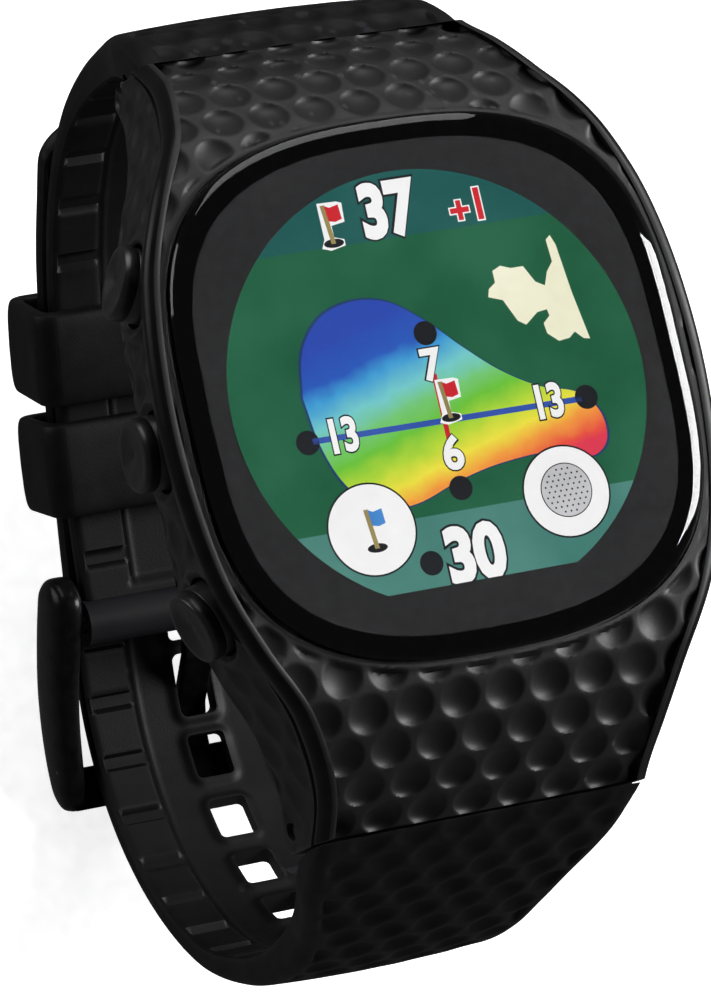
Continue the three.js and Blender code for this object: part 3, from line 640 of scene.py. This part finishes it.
def strap_face(width, thick, s_out, s_in, left, x0, holes, bevel_w):
    """The dimpled outer face: its x and its height above the wrist side."""
    crown = STRAP_EDGE["crown"]
    u = np.linspace(-1, 1, 104)[None, :]
    half = width(thick) - bevel_w
    x = u * half
    fade = smoothstep(0.05, 0.4, half - np.abs(x)) * smoothstep(0.8, 1.4, left)
    for at, size in holes:
        off_x = np.maximum(np.abs(x) - HOLE["half"] - HOLE["rim"], 0)
        off_s = np.maximum(np.abs(s_in - at) - size / 2 - HOLE["rim"], 0)
        fade = fade * smoothstep(0.0, 0.4, np.hypot(off_x, off_s))
    full = STRAP_EDGE["dimple"]
    depth = np.clip(0.13 * thick, 0.26, 0.46)
    return x, thick - crown * u ** 2 - fade * dimples(x, s_out, x0, 1.0, full) * depth / full


def strap_edge(width, thick, bevel_w, bevel_h):
    """The rounded side, from the outer face down to the wrist side."""
    base = thick - STRAP_EDGE["crown"]
    wall = base - 1.1 * bevel_h
    columns = []
    for turn in np.radians((16, 32, 48, 64, 78, 90)):
        columns.append((bevel_w * (1 - np.sin(turn)), base - 1.1 * bevel_h * (1 - np.cos(turn))))
    for share in (0.75, 0.5, 0.25):
        columns.append((0, 0.5 + (wall - 0.5) * share))
    for inset, height in ((0.03, 0.45), (0.18, 0.16), (0.5, 0.02)):
        columns.append((inset, np.full_like(thick, height)))
    return [(width(height) - inset, height) for inset, height in columns]


def wrist_side(width, s_in, holes, first_rib):
    """The inner face, with two rows of pads and a raised rim round each hole."""
    v = np.linspace(1, -1, 96)[None, :]
    x = v * (width(0) - 0.8)
    ribbed = smoothstep(4, 6, s_in) * smoothstep(0.5, 1.5, s_in[-1] - s_in)
    place = np.abs(((s_in - first_rib) % RIB["pitch"]) - RIB["pitch"] / 2)
    groove = 1 - smoothstep(RIB["width"] * 0.5 - 0.2, RIB["width"] * 0.5 + 0.15, place)
    pad = smoothstep(RIB["inner"] - 0.3, RIB["inner"], np.abs(x)) * (1 - groove)
    height = RIB["deep"] * (1 - pad) * ribbed
    height = height - 0.1 * np.exp(-((np.abs(x) - RIB["inner"] + 0.75) / 0.2) ** 2) * ribbed
    for at, size in holes:
        off_x = np.maximum(np.abs(x) - HOLE["half"] + 0.5, 0)
        off_s = np.maximum(np.abs(s_in - at) - size / 2 + 0.5, 0)
        over = np.hypot(off_x, off_s)
        height = height - 0.3 * np.exp(-(np.maximum(over - HOLE["rim"], 0) / 0.45) ** 2) * (over < 2.2)
    return x, np.maximum(height, 0)


def build_strap(name, pairs, x0, tail, holes, first_rib):
    """One strap through pairs of (inner y, inner z, outer y, outer z); tail is the length that narrows."""
    inner, outer = pairs[:, :2], pairs[:, 2:]
    s_out = arc_length(outer)[:, None]
    s_in = arc_length(inner)[:, None]
    across = outer - inner
    thick = np.linalg.norm(across, axis=1)[:, None]
    towards = across / thick
    left = s_out[-1] - s_out
    taper = 1 - 0.3 * np.clip(1 - left / tail, 0, 1) ** 2.5 if tail else np.ones_like(s_out)

    def width(height):
        return strap_width(inner[:, 1:2] + towards[:, 1:2] * height) * taper

    body = np.minimum(thick, 3.6)
    bevel_w = 0.36 * body + 0.3 * (1 - smoothstep(0, 16, s_out))
    bevel_h = 0.28 * body * (0.55 + 0.45 * smoothstep(0, 5, s_out))
    edge = strap_edge(width, thick, bevel_w, bevel_h)
    columns = [strap_face(width, thick, s_out, s_in, left, x0, holes, bevel_w), *edge]
    columns.append(wrist_side(width, s_in, holes, first_rib))
    columns += [(-x, height) for x, height in reversed(edge)]
    x = np.hstack([column[0] for column in columns])
    height = np.hstack([column[1] for column in columns])
    yz = inner[:, None, :] + towards[:, None, :] * height[:, :, None]
    return loft(name, np.concatenate([x[:, :, None], yz], -1))


def tongue(lug, side, face):
    """Rounded end between the lugs, with its neck into the strap."""
    root = face + side * 0.7
    neck = [(root, lug[1] + TONGUE_ROUND), (lug[0], lug[1] + TONGUE_ROUND), (lug[0], lug[1] - TONGUE_ROUND),
            (root, lug[1] - 1.2)]
    return [rod_x(TONGUE_ROUND, -TONGUE, TONGUE, lug, 40),
            prism(neck, -TONGUE + 0.01, TONGUE - 0.01, ALONG_X)]


def build_straps():
    short_pairs = with_head(short_inner, short_outer, 1, END12, SHORT_HEAD, LUG12)
    short = build_strap("strap_short_band", short_pairs, 0.0, 0, [], 0.8)
    end = rod_x(STRAP_END["radius"], -STRAP_END["half"], STRAP_END["half"], PIVOT, 40)
    combine(short, tongue(LUG12, 1, END12) + [end], "UNION")
    slot = box((-TANG_SLOT, PIVOT[0] - 3, PIVOT[1] - 3), (TANG_SLOT, PIVOT[0] + 2.4, PIVOT[1] + 3))
    bores = [rod_x(BORES["strap"], -60, 60, LUG12), rod_x(BORES["strap_end"], -60, 60, PIVOT)]
    combine(short, [*bores, slot], "DIFFERENCE")
    long_pairs = with_head(long_inner, long_outer, -1, END6, LONG_HEAD, LUG6)
    s_in, holes = holes_along(long_pairs[:, :2])
    long = build_strap("strap_long_band", long_pairs, 1.8, 5.0, holes, 3.4)
    combine(long, tongue(LUG6, -1, END6), "UNION")
    cutters = [rod_x(BORES["strap"], -60, 60, LUG6)]
    for at, size in holes:
        i = int(np.searchsorted(s_in, at))
        p = long_pairs[i, :2]
        d = long_pairs[i + 2, :2] - long_pairs[i - 2, :2]
        d /= np.linalg.norm(d)
        place = Matrix(((1, 0, 0, 0), (0, d[0], -d[1], p[0]), (0, d[1], d[0], p[1]), (0, 0, 0, 1)))
        narrow = 0 if size == HOLE["tang_long"] else HOLE["narrow"]
        wide = rounded_rect(HOLE["half"] * (1 + narrow), size / 2 * (1 + narrow), HOLE["corner"])
        cutters.append(prism(wide, -4, 4, place, shrink=(1 - narrow) / (1 + narrow)))
    combine(long, cutters, "DIFFERENCE")
    return short, long


# ---------------------------------------------------------------- keepers, buckle, buttons, glass
def build_keeper(name, near_y):
    """A strap loop round both layers, where the inner side of the 12 o'clock strap passes near_y."""
    index = int(np.argmax((short_inner[:, 0] < near_y) & (short_inner[:, 1] < -30)))
    p = short_inner[index]
    n = short_outer[index] - p
    n = n / np.linalg.norm(n)
    middle = p + n * KEEPER["stack"] / 2
    open_half = KEEPER["stack"] / 2 + KEEPER["play"]
    inner = np.array(rounded_rect(KEEPER["open"], open_half, 0.6, 10))
    outer = np.array(rounded_rect(KEEPER["half"], open_half + KEEPER["wall"], 1.9, 10))
    fine = np.linspace(0, len(inner), 240, endpoint=False)

    def refined(outline):
        closed = np.vstack([outline, outline[:1]])
        return np.stack([np.interp(fine, np.arange(len(closed)), closed[:, k]) for k in range(2)], 1)

    inner, outer = refined(inner), refined(outer)
    a = 2 * np.pi * np.arange(44) / 44
    c, s = np.cos(a), np.sin(a)
    long_half = KEEPER["length"] / 2
    along = np.sign(s) * np.abs(s) ** 0.36 * long_half
    share = 0.5 + 0.5 * np.sign(c) * np.abs(c) ** 0.42
    share = share * (1 - 0.07 * (share > 0.6) * (along / long_half) ** 2)
    ring = inner[:, None, :] + (outer - inner)[:, None, :] * share[None, :, None]
    b = ring[:, :, 1]
    x = ring[:, :, 0]
    y = middle[0] + n[0] * b - n[1] * along
    z = middle[1] + n[1] * b + n[0] * along
    return loft(name, np.stack([x, y, z], -1), around=True)


def build_arm(side):
    """One side bar of the buckle: an oval section from the pivot to the crossbar, bowed outwards."""
    line = smooth_curve(ARM_LINE, 90)
    s = arc_length(line[:, :2])
    d = np.gradient(line[:, :2], axis=0)
    d /= np.linalg.norm(d, axis=1)[:, None]
    n = np.stack([-d[:, 1], d[:, 0]], 1)
    end = np.minimum(np.minimum(s, s[-1] - s) / 2.0, 1)
    close = np.sqrt(np.maximum(1 - (1 - end) ** 2, 0.002))[:, None]
    a = 2 * np.pi * np.arange(48)[None, :] / 48
    c, w = np.cos(a), np.sin(a)
    high = np.sign(w) * np.abs(w) ** 0.8 * line[:, 2:3] * close
    outside = ARM_OUT + ARM_BOW * np.sin(np.pi * s / s[-1])[:, None]
    middle = (outside + line[:, 3:4]) / 2
    reach = (outside - line[:, 3:4]) / 2 * (0.45 + 0.55 * close)
    x = side * (middle + np.sign(c) * np.abs(c) ** 0.62 * reach)
    yz = line[:, None, :2] + n[:, None, :] * high[:, :, None]
    return loft("buckle_arm", np.concatenate([x[:, :, None], yz], -1))


def build_buckle():
    body = prism(CROSSBAR, -BUCKLE_HALF, BUCKLE_HALF, ALONG_X, "buckle_frame_metal")
    combine(body, [build_arm(1), build_arm(-1)], "UNION")
    soften(body, 0.15, 8)
    tip_rest = box((-1.7, -21, -58), (1.7, -15, -55.45))
    combine(body, [rod_x(BORES["buckle_bar"], -BUCKLE_HALF, BUCKLE_HALF, PIVOT), tip_rest], "DIFFERENCE")
    tang = prism(TANG, -TANG_HALF, TANG_HALF, ALONG_X, "buckle_tang_metal")
    combine(tang, [rod_x(1.5, -TANG_HALF - 0.05, TANG_HALF + 0.05, PIVOT)], "UNION")
    soften(tang, 0.12, 5)
    combine(tang, [rod_x(BORES["buckle_bar"], -9, 9, PIVOT)], "DIFFERENCE")
    return body, tang


def build_glass():
    rings = []
    for inset, z in GLASS_PROFILE:
        outline = glass_outline(inset)
        rings.append(np.hstack([outline, np.full((len(outline), 1), z)]))
    return loft("glass_lens", rings)


# ---------------------------------------------------------------- picture on the display
FLAG_EDGE = [(-1.05, -2.1), (-0.2, -2.4), (1.3, -2.1), (1.3, -1.5), (0.35, -1.2), (0.35, -0.1),
             (1.7, 0.1), (1.8, 1.9), (1.3, 2.1), (-0.65, 2.15), (-0.65, -1.3)]
FLAG_POLE = [(-0.05, -1.8), (0.4, -1.8), (0.05, 1.9), (-0.4, 1.9)]
FLAG_CLOTH = [(0.0, 1.85), (0.5, 1.6), (1.4, 1.8), (1.5, 0.4), (0.8, 0.2), (0.15, 0.35)]
# x, y, size and colour of each flag
FLAGS = [(-5.75, 13.2, 0.8, "red"), (0.25, -1.1, 0.76, "red"), (-7.75, -9.6, 0.8, "blue")]
BUNKER = [(6.3, 7.9), (7.0, 8.2), (7.8, 7.9), (8.8, 7.9), (9.5, 6.6), (10.2, 6.2), (10.6, 7.2), (11.2, 7.9),
          (11.1, 9.6), (11.5, 9.9), (11.8, 9.1), (12.2, 5.4), (12.8, 1.7), (12.3, 1.8), (11.7, 2.4),
          (11.2, 2.0), (10.3, 1.9), (9.5, 2.6), (9.4, 3.4), (10.0, 3.9), (9.9, 4.4), (9.1, 4.3),
          (8.0, 3.5), (7.4, 3.9), (6.6, 5.6), (5.5, 6.0), (5.7, 6.6), (6.3, 7.0)]
GREEN = [(-10.7, 0.8), (-9.9, 4.3), (-8.0, 6.5), (-5.4, 7.3), (-2.6, 6.9), (0.25, 4.9), (2.4, 2.8),
         (5.1, 0.45), (7.9, -1.2), (10.9, -2.2), (12.3, -4.0), (12.2, -6.1), (10.9, -7.0), (8.3, -6.2),
         (3.4, -6.4), (0.06, -7.1), (-3.8, -8.3), (-6.4, -8.2), (-8.8, -6.2), (-10.1, -3.2)]
RELIEF = {"per_x": 300 / 16, "per_y": -1000 / 16, "start": 0.39}     # place in the colours, per metre
LARGE_DISCS = [(-7.7, -9.6), (8.1, -9.3)]
SMALL_DISCS = [(-11.1, -2.5), (11.4, -2.6), (-0.1, 4.1), (-0.1, -7.7), (-3.7, -12.8)]
BALL = (8.1, -9.2)
# figures, x, y, height, colour, how much bolder, how narrow
FIGURES = [("37", -0.7, 13.7, 3.9, "white", 0.05, 0.8), ("+", 4.8, 12.8, 1.35, "red", 0.03, 1.0),
           ("1", 6.4, 13.1, 2.25, "red", 0.03, 0.9), ("13", -8.2, -2.35, 2.45, "white", 0.035, 0.76),
           ("13", 8.4, -2.4, 2.45, "white", 0.035, 0.76), ("7", -0.15, 1.7, 2.3, "white", 0.035, 0.95),
           ("6", -0.1, -5.0, 2.45, "white", 0.035, 0.95), ("30", -0.1, -12.6, 3.9, "white", 0.05, 0.84)]
LIT = {
    "green": ((28, 92, 62), (42, 106, 76)), "teal": ((28, 88, 84), (38, 98, 94)),
    "teal_low": ((66, 126, 116), (84, 140, 130)), "cream": ((246, 244, 214), (254, 252, 226)),
    "white": ((250, 250, 250), (255, 255, 255)), "ink": ((28, 30, 34), (36, 38, 44)),
    "navy": ((52, 84, 170), (60, 92, 178)), "outline": ((34, 60, 104), (44, 72, 116)),
    "red": ((206, 36, 48), (222, 48, 56)), "blue": ((58, 122, 200), (88, 160, 226)),
    "tan": ((150, 134, 84), (172, 156, 100)), "grey": ((196, 196, 198), (230, 230, 232)),
}


def placed(points, x, y, size):
    return [(x + size * a, y + size * b) for a, b in points]


class Picture:
    """Flat shapes gathered into one mesh, each a little above the last."""

    def __init__(self):
        self.verts, self.faces, self.slots, self.materials = [], [], [], []
        self.z = DISPLAY["z"]

    def raise_level(self):
        self.z += DISPLAY["layer"]

    def slot(self, material):
        if material not in self.materials:
            self.materials.append(material)
        return self.materials.index(material)

    def add(self, points, material):
        start = len(self.verts)
        for a, b in points:
            self.verts.append((a, b, self.z))
        for tri in tessellate_polygon([[Vector((a, b, 0)) for a, b in points]]):
            self.faces.append(tuple(start + i for i in tri))
            self.slots.append(self.slot(material))

    def text(self, body, x, y, size, material, bold=0.0, narrow=0.8):
        curve = bpy.data.curves.new("figures", "FONT")
        curve.body = body
        curve.align_x, curve.align_y = "CENTER", "CENTER"
        curve.offset = bold
        curve.resolution_u = 4
        obj = bpy.data.objects.new("figures", curve)
        bpy.context.scene.collection.objects.link(obj)
        bpy.context.view_layer.update()
        mesh = bpy.data.meshes.new_from_object(obj.evaluated_get(bpy.context.evaluated_depsgraph_get()))
        co = np.array([v.co[:2] for v in mesh.vertices])
        low, high = co.min(0), co.max(0)
        scale = size / (high[1] - low[1] - 2 * bold)
        start = len(self.verts)
        for a, b in (co - (low + high) / 2) * scale * (narrow, 1):
            self.verts.append((x + a, y + b, self.z))
        for face in mesh.polygons:
            self.faces.append(tuple(start + i for i in face.vertices))
            self.slots.append(self.slot(material))
        bpy.data.objects.remove(obj)

    def finish(self, name):
        obj = new_object(name, self.verts, self.faces)
        for material in self.materials:
            obj.data.materials.append(material)
        obj.data.polygons.foreach_set("material_index", self.slots)
        return obj


def lit(name, dark, light):
    """A colour of the lit display."""
    material = surface(name, (0, 0, 0), (0, 0, 0), (0.4, 0.5), 0.02, level=0.04)
    nodes, links = material.node_tree.nodes, material.node_tree.links
    shader = nodes["Principled BSDF"]
    coords = nodes.new("ShaderNodeTexCoord").outputs["Object"]
    mottle = noise(nodes, links, coords, 120, 2)
    colour = ramp(nodes, links, mottle, [(0.35, linear(dark)), (0.65, linear(light))])
    links.new(colour, shader.inputs["Emission Color"])
    shader.inputs["Emission Strength"].default_value = 1.0
    return material


def relief_map():
    """The green's colours, from high and blue to low and red."""
    material = lit("slope_colours", (40, 90, 190), (40, 90, 190))
    nodes, links = material.node_tree.nodes, material.node_tree.links
    shader = nodes["Principled BSDF"]
    coords = nodes.new("ShaderNodeTexCoord").outputs["Object"]
    split = nodes.new("ShaderNodeSeparateXYZ")
    links.new(coords, split.inputs["Vector"])
    value = None
    for output, weight in (("X", RELIEF["per_x"]), ("Y", RELIEF["per_y"])):
        times = nodes.new("ShaderNodeMath")
        times.operation = "MULTIPLY_ADD"
        times.inputs[1].default_value = weight
        times.inputs[2].default_value = RELIEF["start"]
        links.new(split.outputs[output], times.inputs[0])
        if value is not None:
            links.new(value, times.inputs[2])
        value = times.outputs[0]
    jitter = nodes.new("ShaderNodeMath")
    jitter.operation = "MULTIPLY_ADD"
    jitter.inputs[1].default_value = 0.09
    links.new(noise(nodes, links, coords, 500, 6), jitter.inputs[0])
    links.new(value, jitter.inputs[2])
    stops = [(0.0, (46, 76, 178)), (0.17, (44, 92, 190)), (0.24, (66, 160, 218)),
             (0.36, (120, 208, 208)), (0.47, (120, 205, 120)), (0.57, (110, 200, 60)),
             (0.68, (185, 222, 60)), (0.78, (245, 232, 70)), (0.87, (250, 160, 66)),
             (0.96, (240, 84, 66)), (1.0, (228, 60, 84))]
    colour = ramp(nodes, links, jitter.outputs[0], [(at, linear(c)) for at, c in stops])
    links.new(colour, shader.inputs["Emission Color"])
    return material


def draw_ground(pic, colours):
    """The field, the bands across its top and bottom, and the sand."""
    rim = display_outline(0.3)
    pic.add(rim, colours["green"])
    pic.raise_level()
    pic.add([p for p in rim if p[1] > 11.5], colours["teal"])
    pic.add([p for p in rim if p[1] < -9.0], colours["teal_low"])
    pic.raise_level()
    pic.add(BUNKER, colours["cream"])


def draw_green(pic, colours):
    """The relief of the green in its outline, with the two lines across it."""
    edge = smooth_curve(GREEN + GREEN[:1], 160)[:-1]
    centre = edge.mean(0)
    pic.add(((edge - centre) * 1.018 + centre).tolist(), colours["outline"])
    pic.raise_level()
    pic.add(edge.tolist(), relief_map())
    pic.raise_level()
    pic.add([(-10.7, -2.7), (11.0, -2.9), (11.0, -2.45), (-10.7, -2.25)], colours["navy"])
    pic.add([(-0.35, -4.2), (0.05, -4.2), (0.05, 1.0), (-0.35, 1.0)], colours["red"])


def draw_discs(pic, colours):
    for x, y in LARGE_DISCS:
        pic.add(circle(3.52, x, y, 48), colours["ink"])
    for x, y in SMALL_DISCS:
        pic.add(circle(0.92, x, y, 28), colours["ink"])
    pic.raise_level()
    for x, y in LARGE_DISCS:
        pic.add(circle(3.38, x, y, 48), colours["white"])
    pic.raise_level()


def draw_flags(pic, colours):
    """Each flag with the shadow at its foot; the red ones have a white edge."""
    for x, y, size, cloth in FLAGS:
        if cloth == "red":
            pic.add(placed(FLAG_EDGE, x, y, size), colours["white"])
        pic.raise_level()
        shadow = [(0.2 + a, 0.42 * b - 1.75) for a, b in circle(1, steps=24)]
        pic.add(placed(shadow, x, y, size), colours["ink"])
        pic.raise_level()
        pic.add(placed(FLAG_POLE, x, y, size), colours["tan"])
        pic.add(placed(FLAG_CLOTH, x, y, size), colours[cloth])
        pic.z -= 2 * DISPLAY["layer"]
    pic.raise_level()


def draw_ball(pic, colours):
    """The golf ball: a grey disc in a dark one, with rows of dots."""
    x, y = BALL
    pic.add(circle(2.06, x, y, 40), colours["ink"])
    pic.raise_level()
    pic.add(circle(1.98, x, y, 40), colours["grey"])
    pic.raise_level()
    for row in range(-4, 5):
        for col in range(-4, 5):
            a, b = 0.46 * (col + 0.5 * (row % 2)), 0.4 * row
            if math.hypot(a, b) < 1.8:
                pic.add(circle(0.08, x + a, y + b, 8), colours["ink"])


def build_picture():
    colours = {name: lit(f"lit_{name}", dark, light) for name, (dark, light) in LIT.items()}
    pic = Picture()
    draw_ground(pic, colours)
    draw_green(pic, colours)
    draw_discs(pic, colours)
    for body, x, y, size, colour, bold, narrow in FIGURES:
        edge = "white" if colour == "red" else "ink"
        pic.text(body, x, y, size, colours[edge], bold + 0.035, narrow)
    draw_flags(pic, colours)
    for body, x, y, size, colour, bold, narrow in FIGURES:
        pic.text(body, x, y, size, colours[colour], bold, narrow)
    draw_ball(pic, colours)
    return pic.finish("display_picture")


def build_mask():
    outer = glass_outline(0.3, 128).tolist()
    hole = display_outline()
    z = DISPLAY["mask_z"]
    loops = [outer, hole]
    verts = [(a, b, z) for loop in loops for a, b in loop]
    tris = tessellate_polygon([[Vector((a, b, 0)) for a, b in loop] for loop in loops])
    return new_object("glass_mask", verts, [tuple(t) for t in tris])


# ---------------------------------------------------------------- the object
def show(obj, body, slot, material, *nodes):
    if material is not None:
        obj.data.materials.clear()
        obj.data.materials.append(material)
    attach(obj, body)
    if nodes:
        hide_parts(*nodes)
    return obj


show(build_top_cover(), "watch", "shell", None, "top_cover")
show(build_mid_case(), "watch", "shell", SHELL, "mid_case")
short_piece, long_piece = build_straps()
show(short_piece, "watch", "strap", RUBBER, "strap_short")
show(long_piece, "watch", "strap", RUBBER, "strap_long")
show(build_keeper("keeper_fixed_loop", 8.6), "watch", "strap", RUBBER, "keeper_fixed")
show(build_keeper("keeper_free_loop", 16.7), "keeper_free", "strap", RUBBER, "keeper_free")
buckle_piece, tang_piece = build_buckle()
show(buckle_piece, "buckle_frame", "dark_steel", BLACK_STEEL, "buckle_frame")
show(tang_piece, "buckle_tang", "dark_steel", BLACK_STEEL, "buckle_tang")
for key_ in BUTTONS:
    cap = lathe(f"button_cap_{key_}", BUTTON_PROFILE, button_place(key_))
    show(cap, f"button_{key_}", "button", CAP, f"button_{key_}")
show(build_glass(), "watch", "glass", GLASS_CLEAR, "cover_glass")
show(build_mask(), "watch", "glass", MASK)
show(build_picture(), "watch", "display", None)

NODE_LOOKS = {
    "case_back": SHELL, "buckle_bar": BLACK_STEEL, "glass_gasket": SEAL, "case_back_gasket": SEAL,
    "lcd_frame": PANEL, "lcd_panel": PANEL, "backlight": WHITE, "gps_antenna": WHITE, "display_flex": FLEX,
    "main_pcb": BOARD, "shield_can": BRIGHT_STEEL, "battery": BRIGHT_STEEL, "vibration_motor": BRIGHT_STEEL,
    "charging_contact": GOLD, "back_screw": BRIGHT_STEEL, "spring_bar": BRIGHT_STEEL,
    "button_clip": BRIGHT_STEEL, "button_seal": SEAL, "tact_switch": BRIGHT_STEEL,
}
for node_name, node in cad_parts.items():
    for start_, look in NODE_LOOKS.items():
        if node_name.startswith(start_):
            node.data.materials.clear()
            node.data.materials.append(look)


# ---------------------------------------------------------------- floor, light, camera
def build_stage():
    mesh = bpy.data.meshes.new("floor")
    size, z = 4.0, cad_box[0].z
    corners = [(-size, -size, z), (size, -size, z), (size, size, z), (-size, size, z)]
    mesh.from_pydata(corners, [], [(0, 1, 2, 3)])
    floor = bpy.data.objects.new("floor", mesh)
    bpy.context.scene.collection.objects.link(floor)
    pale = surface("floor_pale", (236, 236, 236), (244, 244, 244), (0.7, 0.9), 0.02, 40, glow=0.95)
    floor.data.materials.append(pale)
    floor.visible_glossy = False


def build_camera():
    data = bpy.data.cameras.new("camera")
    data.lens = LENS
    data.sensor_width = 36
    data.clip_start, data.clip_end = 0.01, 20
    camera = bpy.data.objects.new("camera", data)
    bpy.context.scene.collection.objects.link(camera)
    turn = Matrix.Rotation(CAMERA_TURN.length, 4, CAMERA_TURN.normalized())
    to_camera = Matrix.Translation(CAMERA_SHIFT * MM) @ turn
    camera.matrix_world = Matrix.Translation((0, 0, CAMERA_ORIGIN * MM)) @ to_camera.inverted()
    bpy.context.scene.camera = camera
    return camera


def area_light(name, camera, offset, size, power, stretch=1.0):
    """A soft panel placed by its offset from the watch along the camera's right, up and back."""
    axes = camera.matrix_world.to_3x3()
    at = axes @ Vector(offset)
    data = bpy.data.lights.new(name, "AREA")
    data.shape = "RECTANGLE"
    data.size, data.size_y = size, size * stretch
    data.energy = power
    light = bpy.data.objects.new(name, data)
    bpy.context.scene.collection.objects.link(light)
    light.location = at
    light.rotation_mode = "QUATERNION"
    light.rotation_quaternion = (-at).to_track_quat("-Z", "Y")


build_stage()
view = build_camera()
# offsets in metres along the camera's right, up and back; then size, power and stretch
area_light("key", view, (1.02, 0.3, 0.16), 0.4, 16.5, 1.7)
area_light("top", view, (0.1, 1.0, 0.25), 0.8, 4.6)
area_light("fill", view, (-0.95, 0.42, 0.18), 0.5, 3.2, 1.6)
world = bpy.data.worlds.new("studio")
bpy.context.scene.world = world
world.use_nodes = True
world.node_tree.nodes["Background"].inputs["Color"].default_value = (1, 1, 1, 1)
world.node_tree.nodes["Background"].inputs["Strength"].default_value = 0.07
bpy.context.scene.view_settings.view_transform = "Standard"
